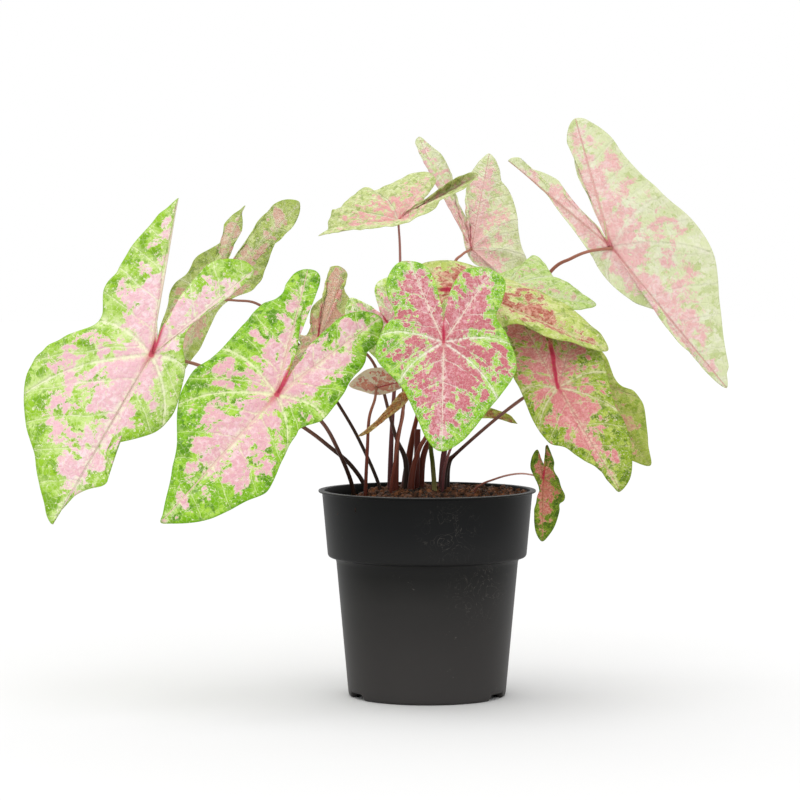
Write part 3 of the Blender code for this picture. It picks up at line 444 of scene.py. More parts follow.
# Living leaf skin: waxy and thin, so its colours stay clear and its shine is broad and weak.
# pinks run from pale to deep and greens from light to dark. pink is how much pink there is,
# soft is 0 for crisp flecks and 1 for the washed look of an underside, vein is how much the
# side veins show, fleck how strongly the colours break up, and join how red the join is.
looks = {
    "rose": {"pinks": ("#f5dce1", "#e9b7c1"), "greens": ("#c8e088", "#93c12c", "#72a316"),
             "cream": "#eeefca", "rib": "#f4d6d0", "pink": 0.025, "soft": 0.0, "vein": 1.0},
    "fresh": {"pinks": ("#fde0e0", "#f2a8b0"), "greens": ("#f2f7d0", "#c2e06a", "#80ae20"),
              "cream": "#faf8e0", "rib": "#f0c8bc", "pink": -0.02, "soft": 0.0, "vein": 1.2},
    "vivid": {"pinks": ("#eecdd2", "#dea6b0"), "greens": ("#a6d146", "#73ad08", "#508605"),
              "cream": "#eaeebc", "rib": "#e4beb2", "pink": 0.0, "soft": 0.0, "vein": 0.9},
    "deep": {"pinks": ("#e4abb2", "#c46872"), "greens": ("#bfde6c", "#86c01e", "#659f0c"),
             "cream": "#faf6e4", "rib": "#f4e0cc", "pink": 0.06, "soft": 0.0, "vein": 0.85},
    "pale": {"pinks": ("#f8d6d6", "#eeb4b4"), "greens": ("#eceed0", "#dee6b4", "#c3d28a"),
             "cream": "#f5f2dc", "rib": "#e2a09c", "pink": 0.0, "soft": 0.9, "vein": 0.45},
    "under": {"pinks": ("#ecc4be", "#dd9a98"), "greens": ("#d8dca8", "#b8c476", "#90a44a"),
              "cream": "#ebead0", "rib": "#dca098", "pink": -0.035, "soft": 0.6, "vein": 0.6},
    "dusky": {"pinks": ("#f4d2cc", "#e2a29c"), "greens": ("#dbe6a0", "#aac24c", "#7a9628"),
              "cream": "#f0f2d4", "rib": "#e2dcb0", "pink": 0.02, "soft": 0.2, "vein": 0.7,
              "fleck": 0.4},
    "blush": {"pinks": ("#fad6ce", "#eca098"), "greens": ("#e4e8ac", "#bcca60", "#8fa638"),
              "cream": "#f6f4dc", "rib": "#e4b8a8", "pink": 0.05, "soft": 0.1, "vein": 0.4,
              "fleck": 0.45},
    "lime": {"pinks": ("#dec0aa", "#cca090"), "greens": ("#ccd69e", "#b0cc6c", "#8aab42"),
             "cream": "#e2e8ca", "rib": "#d2dca0", "pink": -0.09, "soft": 0.2, "vein": 0.8},
    "olive": {"pinks": ("#d89e8a", "#a85644"), "greens": ("#cfd490", "#aebf58", "#849c34"),
              "cream": "#e6deb6", "rib": "#d2c592", "pink": 0.0, "soft": 0.05, "vein": 0.5},
    "shade": {"pinks": ("#e6aaa8", "#cf7a7c"), "greens": ("#b6c45a", "#7f9c14", "#557406"),
              "cream": "#e4deb6", "rib": "#cc8f8a", "pink": 0.01, "soft": 0.0, "vein": 0.9},
    "back": {"pinks": ("#d3ab88", "#c08c72"), "greens": ("#b3bb66", "#98aa3f", "#7b9626"),
             "cream": "#c9c88c", "rib": "#b6bb72", "pink": -0.06, "soft": 0.2, "vein": 0.5},
    "young": {"pinks": ("#da9e8e", "#be6659"), "greens": ("#8aa028", "#557602", "#365402"),
              "cream": "#a6ac5c", "rib": "#b4605a", "pink": -0.01, "soft": 0.0, "vein": 0.5,
              "fleck": 0.5},
    "rusty": {"pinks": ("#ffae8c", "#d84630"), "greens": ("#fff4e0", "#ffeacc", "#fcd4a8"),
              "cream": "#fff4dc", "rib": "#c85444", "pink": 0.0, "soft": 0.1, "vein": 0.5,
              "fleck": 0.5},
    "dry": {"pinks": ("#cc8c50", "#9a562c"), "greens": ("#dcc68c", "#bc9850", "#947030"),
            "cream": "#e4d0a0", "rib": "#8a6034", "pink": 0.01, "soft": 0.4, "vein": 0.6,
            "join": 0.15},
    "fading": {"pinks": ("#cc9a6c", "#a8683c"), "greens": ("#dcdc84", "#b0bc38", "#86981c"),
               "cream": "#e4e4a8", "rib": "#946c30", "pink": 0.0, "soft": 0.3, "vein": 0.6,
               "join": 0.15},
}
red = "#c0224a"


def leafMaterial(look):
    # Colour from the blade's own flat coordinates, in hundredths of its length. body holds the
    # place along and beside the midrib and the seed, lobe the same for the lobe's rib and the
    # distance to the join, and fan where the point lies between midrib (0) and lobe rib (1),
    # what one of that measures, and the share of the way to the margin.
    style = looks[look]
    soft, vein, cream = style["soft"], style["vein"], style["cream"]
    pale, deep = style["pinks"]
    light, middle, dark = style["greens"]
    material, node = newMaterial("leafSkin_" + look, Roughness=0.5, IOR=1.42,
                                 Specular_IOR_Level=0.2)
    along, across, seed = node("split", node("vector", attribute_name="body"))
    lobeAlong, lobeAcross, bridge = node("split", node("vector", attribute_name="lobe"))
    phase, span, reach = node("split", node("vector", attribute_name="fan"))
    under = node("attribute", attribute_name="under")
    beside, lobeBeside = abs(across), abs(lobeAcross)
    surface = node("join", along, across, seed)

    # A hundredth is about 1 mm on a large blade, so the noise scales are one over a size in mm:
    # 0.06 for patches of 17, 0.14 to 0.21 for 5 to 7, 0.34 for 3 and 0.55 for 2.
    # A rib only runs forward from the petiole, and behind it the distance is made large.
    behind = 60.0
    wander = (node("noise", surface, 0.06, 2, 0.5) - 0.5) * 7.0
    midrib = beside + node("LESS_THAN", along, 0.0) * behind
    lobeRib = lobeBeside + node("LESS_THAN", lobeAlong, 0.0) * behind
    rib = node("MINIMUM", midrib, lobeRib)
    first, second = veins["fan"]
    fanned = node("MINIMUM", abs(phase - first), abs(phase - second)) * span
    fanned = abs(fanned + wander * (reach * 0.35))
    bent = along - beside * veins["lean"] - beside * beside * veins["bend"] + wander
    bodyVein = node("PINGPONG", bent + veins["start"], veins["half"]) * 0.85
    lobeBent = lobeAlong - lobeBeside * veins["lobeLean"] + wander
    lobeVein = node("PINGPONG", lobeBent + veins["lobeStart"], veins["lobeHalf"]) * 0.8
    sideVein = node("mixValue", node("smooth", phase, 0.66, 0.74), bodyVein, lobeVein)
    ragged = node("noise", surface, 0.34, 6, 0.75, 0.5)
    mottle = node("noise", surface, 0.14, 6, 0.7, 0.3)

    # Pink gathers along the ribs and near their meeting, green at the margin and beside the
    # veins. Both break up into jagged flecks of one to three millimetres, and into streaks
    # that run out from the petiole.
    zones = node("noise", surface, 0.06, 3, 0.55, 0.6) - 0.5
    small = node("noise", surface, 0.21, 9, 0.78, 0.6) - 0.5
    far = node("SQRT", along * along + across * across)
    rays = node("join", phase * node("SIGN", across) * 17.0, far * 0.09, seed)
    streaks = node("noise", rays, 1.0, 5, 0.65, 0.4) - 0.5
    fleck = style.get("fleck", 0.85)
    pinkness = (zones * (1.4 - fleck * 0.8) + small * fleck + streaks * 0.55 + style["pink"]
                + (0.56 - reach) * 0.22 - node("smooth", reach, 0.84, 0.97) * 0.13
                + node("smooth", rib, 15.0, 3.0) * 0.07)
    halo = node("MAXIMUM", node("smooth", fanned, 7.0, 0.5) * node("smooth", reach, 0.1, 0.45),
                node("smooth", sideVein, 3.6, 0.4) * 0.6)
    pinkness = pinkness - halo * (0.12 * vein)
    crisp = 0.010 + 0.055 * soft
    pinkShare = node("smooth", pinkness, -crisp, crisp)
    border = node("smooth", pinkness, -0.034, -0.006) * node("smooth", pinkness, 0.014, -0.002)

    # Green goes from light to middle in clouds, with dark patches and small cream dots.
    green = node("mix", node("smooth", mottle + reach * 0.08, 0.44, 0.60), light, middle)
    patch = node("noise", surface, 0.15, 4, 0.6, 0.5) + ragged * 0.3
    darkShare = node("smooth", patch + reach * 0.05, 0.71, 0.77)
    green = node("mix", darkShare * 0.9, green, dark)
    lighter = node("smooth", ragged, 0.36, 0.55) * min(1.0, 0.9 * vein)
    green = node("mix", halo * lighter, green, light)
    dots = node("smooth", node("noise", surface, 0.55, 3, 0.6), 0.60, 0.64)
    dots = dots * node("smooth", mottle, 0.40, 0.50)
    green = node("mix", dots * (0.7 - 0.6 * soft), green, cream)
    pink = node("mix", node("smooth", ragged + rib * -0.004, 0.40, 0.62), deep, pale)
    pink = node("mix", node("smooth", reach, 0.42, 0.02), pink, deep)
    color = node("mix", pinkShare, green, pink)
    color = node("mix", border * (0.75 - 0.6 * soft), color, cream)

    # Vein lines are finest at the margin, with a ragged cream bloom beside them and a net of
    # small veins between them.
    width = node("MULTIPLY_ADD", 1.0 - reach, 0.75, 0.35)
    ribLine = node("smooth", rib / width, 1.0, 0.3)
    fanLine = node("smooth", fanned / width, 1.7, 0.3) * node("smooth", ragged, 0.30, 0.50)
    sideLine = node("smooth", sideVein / width, 0.9, 0.2) * node("smooth", ragged, 0.36, 0.52)
    bloom = node("MAXIMUM", node("smooth", rib, 3.4, 0.6), node("smooth", fanned, 3.4, 0.4))
    bloom = bloom * node("smooth", ragged, 0.44, 0.58)
    net = node("cells", surface, 0.34)
    for share, tone in ((bloom * (0.7 * vein), cream), (sideLine * (0.5 * vein), cream),
                        (fanLine * min(1.0, 0.75 * vein), cream), (ribLine * 0.8, style["rib"]),
                        (node("smooth", net, 0.09, 0.02) * 0.16, cream)):
        color = node("mix", share, color, tone)

    # The underside is paler and duller. The join to the sinus is red, and so is the meeting.
    washed = node("mix", 0.22, color, light)
    color = node("mix", under * (1.0 - 0.8 * soft), color, washed)
    meeting = node("smooth", node("MULTIPLY_ADD", rib, 0.022, reach), 0.17, 0.0) * 0.75
    join = node("smooth", bridge, 2.6, 0.9) * node("smooth", reach, 1.0, 0.6)
    redness = node("MAXIMUM", join, meeting) * style.get("join", 0.9 - 0.25 * soft)
    color = node("mix", redness, color, red)
    color = node("mix", node("smooth", reach, 0.975, 1.0) * 0.6, color, middle)

    # Quilted skin between sunk veins, with a pebbled grain of about half a millimetre.
    height = (node("smooth", net, 0.0, 0.25) * 0.3 - ribLine * 0.4
              - node("smooth", fanned, 1.6, 0.2) * 0.8 - node("smooth", sideVein, 1.2, 0.1) * 0.5
              + mottle * 1.2)
    return finishMaterial(material, color, height, 0.7, 0.001)


def planeDepth(leaf, x, z):
    (middleX, middleZ), (right, up) = leaf["attach"], leaf["tilt"]
    return leaf["depth"] + right * (x - middleX) + up * (z - middleZ)


def stemSide(leaf):
    # Unit vector from the blade to its petiole: the plane's normal on that side.
    x, z = leaf["attach"]
    here = inDepth(x, z, leaf["depth"])
    right = inDepth(x + 1, z, planeDepth(leaf, x + 1, z)) - here
    up = inDepth(x, z + 1, planeDepth(leaf, x, z + 1)) - here
    away = np.cross(up, right)
    return leaf["stem"] * away / np.linalg.norm(away)


def bladeSurface(leaf):
    # The blade's middle surface on rings (0 to 1) by rays: the attachment plus the ring's share
    # of the way to the margin, whose bend and wave grow with the square of that share. The flat
    # coordinates unroll the rays: their real length, at the angles between them added up.
    points = []
    for x, z, *y in leaf["outline"]:
        points.append((x, z, y[0] - planeDepth(leaf, x, z) if y else 0.0))
    perStretch = max(3, round(bladeSize["rays"] / len(points)))
    loop = smoothThrough(points, perStretch, closed=True)
    turn = 2 * math.pi * np.arange(len(loop)) / len(loop)
    share = np.linspace(0.0, 1.0, bladeSize["rings"] + 1)[:, None]
    middle = np.array(leaf["attach"], float)
    size = min(1.0, np.hypot(*(loop[:, :2] - middle).T).max() / bladeSize["fullSize"])
    x = middle[0] + (loop[:, 0] - middle[0]) * share
    z = middle[1] + (loop[:, 1] - middle[1]) * share
    wave = bladeSize["wave"] * size * np.sin(bladeSize["wavesRound"] * turn)
    place = inDepth(x, z, planeDepth(leaf, x, z) + (loop[:, 2] + wave) * share**2)
    rays = place[-1] - place[0, 0]
    length = np.linalg.norm(rays, axis=1)
    unit = rays / length[:, None]
    step = np.arccos(np.clip(np.einsum("ij,ij->i", unit, np.roll(unit, -1, 0)), -1.0, 1.0))
    angle = np.concatenate([[0.0], np.cumsum(step)[:-1]]) * 2 * math.pi / step.sum()
    flatLength = length * share * (100.0 / length[0])
    sinus = leaf["sinus"] * perStretch
    first = np.arange(len(loop)) <= sinus
    lobeAngle = np.where(first, *(angle[lobe * perStretch] for lobe in leaf["lobes"]))
    fan = np.where(first, angle, 2 * math.pi - angle)
    lobeFan = np.where(first, lobeAngle, 2 * math.pi - lobeAngle)
    arch = np.clip(4 * fan / lobeFan * (1 - fan / lobeFan), 0, 1)
    toJoin = angle - angle[sinus]
    flat = {
        "along": flatLength * np.cos(angle), "beside": flatLength * np.sin(angle),
        "lobeAlong": flatLength * np.cos(angle - lobeAngle),
        "lobeBeside": flatLength * np.sin(angle - lobeAngle),
        "phase": fan / lobeFan + bladeSize["fanBend"] * share**2 * arch,
        "span": lobeFan * flatLength, "reach": share + 0.0 * flatLength,
        "bridge": np.where(np.cos(toJoin) > 0, np.abs(flatLength * np.sin(toJoin)), flatLength),
    }
    return place, flat, size


def makeLeaf(name, leaf, material):
    # A closed skin: the middle surface moved half the thickness out on either side, thinner at
    # the margin. Relief is along the upper normal: ribs and fanned veins sink in bell curves,
    # the skin between them puffs up, a cosine of the side veins' bent distance ripples it, and
    # the margin turns down. It fades out at the petiole and to 0.4 at the margin.
    place, flat, size = bladeSurface(leaf)
    rings, rays = place.shape[:2]
    upper = -stemSide(leaf)
    normal = np.cross(np.gradient(place, axis=0), np.roll(place, -1, 1) - np.roll(place, 1, 1))
    normal[0] = upper
    normal /= np.linalg.norm(normal, axis=2)[..., None]
    if (normal[1:] @ upper).mean() < 0:
        normal[1:] *= -1
    behind = 99.0
    midrib = np.where(flat["along"] > 0, np.abs(flat["beside"]), behind)
    lobeRib = np.where(flat["lobeAlong"] > 0, np.abs(flat["lobeBeside"]), behind)
    rib = np.minimum(midrib, lobeRib)
    fanned = np.minimum(*(abs(flat["phase"] - vein) for vein in veins["fan"])) * flat["span"]
    fade = np.minimum(1.0, flat["reach"] * 5.0) * (1.0 - 0.6 * flat["reach"] ** 4)
    puffed = 1 - np.exp(-(np.minimum(rib, fanned) / bladeSize["puffWidth"]) ** 2)
    sunkRib = bladeSize["sunkRib"] * np.exp(-(rib / bladeSize["sunkWidth"]) ** 2)
    sunkVein = bladeSize["sunkVein"] * np.exp(-(fanned / bladeSize["sunkWidth"]) ** 2)
    bent = (flat["along"] - veins["lean"] * abs(flat["beside"])
            - veins["bend"] * flat["beside"] ** 2 + veins["start"])
    ripple = np.minimum(1.0, rib / bladeSize["puffWidth"]) * np.cos(math.pi * bent / veins["half"])
    curled = (flat["reach"] - bladeSize["curlFrom"]) / (1.0 - bladeSize["curlFrom"])
    relief = (bladeSize["puff"] * puffed - (sunkRib + sunkVein) - bladeSize["ripple"] * ripple
              - bladeSize["curl"] * np.clip(curled, 0, 1) ** 2)
    place = place + normal * (relief * fade * size * mm)[..., None]
    half = 0.5 * bladeSize["thickness"] * mm * (1.0 - 0.6 * flat["reach"][..., None] ** 8)
    skins = [place + sign * half * normal for sign in (1, -1)]
    points = np.vstack([part for skin in skins for part in (skin[0, :1], skin[1:].reshape(-1, 3))])

    # One hub point and rings of quads on each side, and a rim of quads that joins them.
    quads, ray, after = ringQuads(rings - 1, rays)
    quads = 1 + quads
    hub = np.stack([0 * ray, 1 + ray, 1 + after], axis=1)
    count, rim = len(points) // 2, 1 + (rings - 2) * rays
    edge = np.stack([rim + ray, rim + ray + count, rim + after + count, rim + after], axis=1)
    faces = [hub, quads, edge, hub[:, ::-1] + count, quads[:, ::-1] + count]

    def onPoints(*keys):
        columns = [np.concatenate([flat[key][0, :1], flat[key][1:].ravel()]) for key in keys]
        return np.tile(np.stack(columns, axis=1), (2, 1))

    seed = leaf["seed"] * 37.0  # far enough apart for patterns of their own
    values = {
        "body": np.insert(onPoints("along", "beside"), 2, seed, axis=1),
        "lobe": onPoints("lobeAlong", "lobeBeside", "bridge"),
        "fan": onPoints("phase", "span", "reach"),
        "under": np.repeat([0.0, 1.0], count),
    }
    uv = onPoints("beside", "along") / 250.0 + 0.5  # inside the unit square
    newPiece("blade_" + name, points, faces, material,
             ["leaf_" + name], values, uv)


leafMaterials = {look: leafMaterial(look) for look in looks}
for name, leaf in leaves.items():
    makeLeaf(name, leaf, leafMaterials[leaf["look"]])
print("blades made:", len(leaves))

# The petioles: radii at the blade and in the soil, and the route below the blade as (x, z, y),
# within about 5 mm of the solids'. sheath is how much the foot widens, and tone the finish.
petioleSize = {"holeDepth": 16.0, "sides": 14, "perStretch": 8, "joinFlare": 0.5,
               "flareShare": 0.03, "sheathFrom": 0.62}
petioles = {
    "far_left": {"radii": (0.9, 1.3), "tone": "maroon", "route": (
        (-125, 182, -20), (-97, 166, -14), (-68, 148, -12), (-53.5, 137, -10), (-42, 127, -6),
        (-34, 114, -4))},
    "back_left": {"radii": (0.6, 1.1), "tone": "maroon", "route": (
        (-106, 218, 29), (-90, 214, 27), (-68, 190, 26), (-49, 161, 20), (-37, 140, 13),
        (-26, 114, 6))},
    "front_left": {"radii": (0.9, 1.25), "tone": "maroon", "route": (
        (-73, 162, -54), (-58, 151, -42), (-48, 133, -26), (-41, 114, -14))},
    "mid_left": {"radii": (0.6, 1.3), "sheath": 0.6, "tone": "maroon", "route": (
        (-45, 194, 1), (-34, 189, 0), (-27, 178, 0), (-21.5, 158, 1), (-17, 142, 2), (-12, 130, 2),
        (-11.5, 114, 2))},
    "mid_front": {"radii": (0.7, 1.3), "sheath": 0.8, "tone": "red", "route": (
        (-18, 190, -14), (-13, 168, -10), (-14, 153, -9), (-16.5, 140, -8), (-17.5, 114, -7))},
    "front_center": {"radii": (0.8, 1.5), "tone": "green", "route": (
        (8, 185, -62), (5, 163, -48), (2, 141, -30), (3, 128, -20), (4, 114, -13))},
    "top_left": {"radii": (0.55, 1.6), "sheath": 0.2, "tone": "mauve", "route": (
        (-15, 245, 22), (-15, 215, 18), (-17, 185, 15), (-19, 156, 12), (-20, 135, 10),
        (-20.5, 114, 9))},
    "top_center": {"radii": (0.6, 1.7), "sheath": 1.2, "tone": "red", "route": (
        (19, 243, 60), (14, 236, 53), (7, 205, 36), (-2, 167, 20), (-7, 148, 15), (-10, 131, 13),
        (-12, 114, 13))},
    "right_upper": {"radii": (0.8, 1.7), "sheath": 0.7, "tone": "mauve", "route": (
        (38, 208, 20), (27, 180, 12), (15, 152, 6), (9.5, 135, 4), (8, 114, 3))},
    "right_middle": {"radii": (0.8, 1.5), "sheath": 0.8, "tone": "red", "route": (
        (19, 208, -21), (10, 178, -13), (1, 147, -7), (-4, 137, -5), (-7.5, 126, -4),
        (-9, 114, -4))},
    "right_front": {"radii": (0.7, 1.2), "sheath": 0.8, "tone": "maroon", "route": (
        (63, 170, -34), (51, 163, -28), (34, 149.5, -19), (17, 134.5, -10), (11, 128, -7),
        (9, 114, -6))},
    "right_back": {"radii": (0.7, 1.1), "sheath": 0.5, "tone": "maroon", "route": (
        (79, 171, 2), (62, 169.5, 4), (50, 162, 5), (34, 149.5, 6), (17, 134.5, 6), (12, 128, 6),
        (11, 114, 6))},
    "far_right": {"radii": (0.8, 1.5), "sheath": 0.5, "tone": "red", "route": (
        (89, 245, 45), (79, 241, 50), (68, 234, 57), (50, 208, 50), (31, 180, 34), (11, 152, 20),
        (-1, 136, 12), (-3.5, 114, 11))},
    "low_right": {"radii": (0.4, 0.7), "tone": "rosy", "route": (
        (59, 121.5, -31), (52, 122.5, -29), (44, 121.5, -26), (36, 119, -22), (30, 116.5, -19),
        (26, 112, -17))},
    "small_under": {"radii": (0.7, 1.1), "tone": "red", "route": (
        (-29, 163, -9), (-32, 153, -13), (-33, 136, -14), (-34, 114, -14))},
    "dry_left": {"radii": (0.5, 1.0), "tone": "red", "route": (
        (-13, 156, -12), (-15, 146, -12), (-18, 128, -15), (-20, 114, -16))},
    "narrow_right": {"radii": (0.6, 0.9), "tone": "mauve", "route": (
        (23, 152, -10), (15, 141, -11), (10, 127, -12), (8.5, 114, -12))},
}
stub = {"radii": (1.7, 1.7), "sheath": 0.3, "tone": "stump",
        "top": (-5.3, 147, 7), "foot": (-6, 112, 7)}

# Smooth fleshy stalks with a waxy skin: dark maroon at the soil and rosy brown near the blade,
# with fine lengthwise streaks. Each tone goes from the soil to the blade.
petioleTones = {
    "maroon": ("#150d08", "#36221a", "#9c6c5e"),
    "red": ("#351109", "#6a2d1c", "#a8705e"),
    "mauve": ("#36161a", "#643436", "#b07a76"),
    "rosy": ("#4a1c14", "#945c50", "#cfa298"),
    "green": ("#a39a66", "#3e4514", "#6c7a34"),
    "stump": ("#2a0d09", "#40160f", "#552016"),
}


def petioleMaterial(tone):
    material, node = newMaterial("petioleSkin_" + tone, Roughness=0.42, IOR=1.4,
                                 Specular_IOR_Level=0.25)
    # A streak is about 0.4 mm wide and 8 mm long.
    streak = node("noise", node("stretch", node("uv"), (14.0, 120.0, 1.0)), 1.0, 4.0)
    place = streak * 0.35 + node("attribute", attribute_name="climb")
    color = node("ramp", place, stops=list(zip((0.12, 0.55, 1.0), petioleTones[tone])))
    return finishMaterial(material, color, streak, 0.25, 0.0002)


def makeTube(name, path, radii, sheath, flare, material):
    # A round section carried along the path. It tapers evenly to the blade, widens over the
    # last third into the sheath that clasps the crown, and flares where it joins the blade.
    count, sides = len(path), petioleSize["sides"]
    share = np.linspace(0.0, 1.0, count)
    radius = (radii[0] + (radii[1] - radii[0]) * share) * mm
    low = (share - petioleSize["sheathFrom"]) / (1.0 - petioleSize["sheathFrom"])
    radius += sheath * mm * np.sin(0.5 * math.pi * np.clip(low, 0.0, 1.0))
    radius *= 1.0 + flare * np.exp(-(share / petioleSize["flareShare"]) ** 2)
    ahead = np.gradient(path, axis=0)
    ahead /= np.linalg.norm(ahead, axis=1)[:, None]
    side = np.cross(ahead, (0.25, 0.93, 0.27))  # no petiole runs that way
    side /= np.linalg.norm(side, axis=1)[:, None]
    other = np.cross(ahead, side)
    turn = 2 * math.pi * np.arange(sides) / sides
    ring = side[:, None] * np.cos(turn)[:, None] + other[:, None] * np.sin(turn)[:, None]
    points = (path[:, None] + radius[:, None, None] * ring).reshape(-1, 3)
    points = np.vstack([points, path[0], path[-1]])
    climb = np.append(np.repeat(1.0 - share, sides), [1.0, 0.0])
    length = np.append(0.0, np.cumsum(np.linalg.norm(np.diff(path, axis=0), axis=1)))
    around = np.append(np.tile(np.abs(turn / math.pi - 1.0), count), [0.5, 0.5])
    along = np.append(np.repeat(length, sides), [0.0, length[-1]])
    newPiece("stalk_" + name, points, tubeFaces(count, sides), material,
             ["petiole_" + name], {"climb": climb}, np.stack([around, along], axis=1))


petioleMaterials = {tone: petioleMaterial(tone) for tone in petioleTones}
inSoil = np.array((0.0, 0.0, petioleSize["holeDepth"] * mm))
for name, stalk in petioles.items():
    leaf = leaves[name]
    top, away = inDepth(*leaf["attach"], leaf["depth"]), stemSide(leaf)
    bend = top + away * (stalk["radii"][0] + 0.7) * mm  # clear of the blade
    route = [inDepth(*place) for place in stalk["route"]]
    path = smoothThrough([bend, *route, route[-1] - inSoil], petioleSize["perStretch"],
                         closed=False)
    path = np.vstack([top + away * 0.2 * mm, path])
    makeTube(name, path, stalk["radii"], stalk.get("sheath", 0.0), petioleSize["joinFlare"],
             petioleMaterials[stalk["tone"]])
top, foot = inDepth(*stub["top"]), inDepth(*stub["foot"])
path = smoothThrough([top, foot, foot - inSoil], petioleSize["perStretch"], closed=False)
makeTube("stub", path, stub["radii"], stub["sheath"], 0.0, petioleMaterials[stub["tone"]])
print("petioles made:", len(petioles) + 1)

# The pot: the CAD section with rounded corners and a thinner lip, turned finely.
pot = {
    "height": 113.7, "rim": 60.0, "lip": 1.1, "collarTop": 58.0, "collarFoot": 54.8,
    "collarFootZ": 77.4, "stepZ": 76.0, "bodyTop": 50.2, "base": 43.4, "wall": 1.3,
    "floorZ": 3.8, "floor": 1.5, "foot": 1.8, "footInset": 1.6, "boss": 10.0,
    "notches": (-64.0, 62.0, 180.0), "notchWidth": 16.5, "notchHeight": 3.3,
    "notchChamfer": 1.6, "spokes": 256, "rowHeight": 2.5,
}
# Foot to lip: charcoal, painted lighter low on the body (painted sheen), darker at collar and lip
# (painted shade).
potLightAndShadeStops = ((0.05, "#3c3a39"), (0.25, "#363433"), (0.52, "#2a2928"), (0.66, "#191918"),
                (0.76, "#1c1c1c"), (0.9, "#101112"), (1.0, "#090a0a"))
# Scuffs lie in two places, in metres: on the collar, and high on the body at the right.
scuffs = (((0.012, -0.056, 0.094), 0.021), ((0.030, -0.040, 0.062), 0.026))


def plasticMaterial():
    # Injection moulded recycled polypropylene: charcoal, satin, with a faint cloud and dust.
    material, node = newMaterial("mouldedPolypropylene", Roughness=0.46, IOR=1.49,
                                 Specular_IOR_Level=0.13)
    where = node("object")
    height = node("split", where)[2]
    place = node("linear", height, 0.0, pot["height"] * mm)
    place = node("MULTIPLY_ADD", node("noise", where, 22.0, 4.0), 0.10, place)  # 45 mm clouds
    # Painted light and shade: the ramp by height makes the body lighter low down and the collar
    # and lip darker.
    color = node("ramp", place, stops=potLightAndShadeStops)
    # Specks of dust of 2 mm gather in zones of 30 mm.
    dust = (node("linear", node("noise", where, 420.0, 5.0, 0.7), 0.64, 0.72)
            * node("linear", node("noise", where, 30.0, 2.0), 0.56, 0.66) * 0.35)
    # Scuffs are thin threads, where a warped noise of 12 mm passes its middle.
    near = [node("linear", node("distance", where, spot), wide, 0.3 * wide)
            for spot, wide in scuffs]
    threads = node("COMPARE", node("noise", where, 80.0, 3.0, 0.5, 3.0), 0.5, 0.008)
    scuffed = node("MAXIMUM", *near) * threads * 0.17
    # The lip's upper outer edge is painted paler: a painted highlight. Inside, the wall is painted
    # near black: painted shade in the pot's hollow.
    out = node("length", node("times", where, (1.0, 1.0, 0.0)))
    lipHighlight = (node("linear", out, (pot["rim"] - 0.8) * mm, pot["rim"] * mm)
            * node("linear", height, (pot["height"] - 0.4) * mm, pot["height"] * mm))
    insideShade = node("attribute", attribute_name="insideShade")
    for share, shade in ((dust, "#77736e"), (scuffed, "#7c7670"), (lipHighlight, "#6a6866"),
                         (insideShade, "#050606")):
        color = node("mix", share, color, shade)
    grain = node("noise", where, 1400.0, 2.0)  # 0.7 mm, as drawn by the mould's fine texture
    return finishMaterial(material, color, grain, 0.12, 0.0001)


def roundedProfile(corners, steps=5):
    # Each corner (radius, z, rounding) becomes a quadratic curve between points on its sides.
    out = [np.array(corners[0][:2])]
    for before, corner, after in zip(corners[:-2], corners[1:-1], corners[2:]):
        here = np.array(corner[:2])
        ends = []
        for other in (before, after):
            side = np.array(other[:2]) - here
            length = np.linalg.norm(side)
            ends.append(here + side / length * min(corner[2], 0.45 * length))
        t = np.linspace(0.0, 1.0, steps)[:, None]
        out.extend((1 - t) ** 2 * ends[0] + 2 * t * (1 - t) * here + t**2 * ends[1])
    out.append(np.array(corners[-1][:2]))
    return np.array(out)


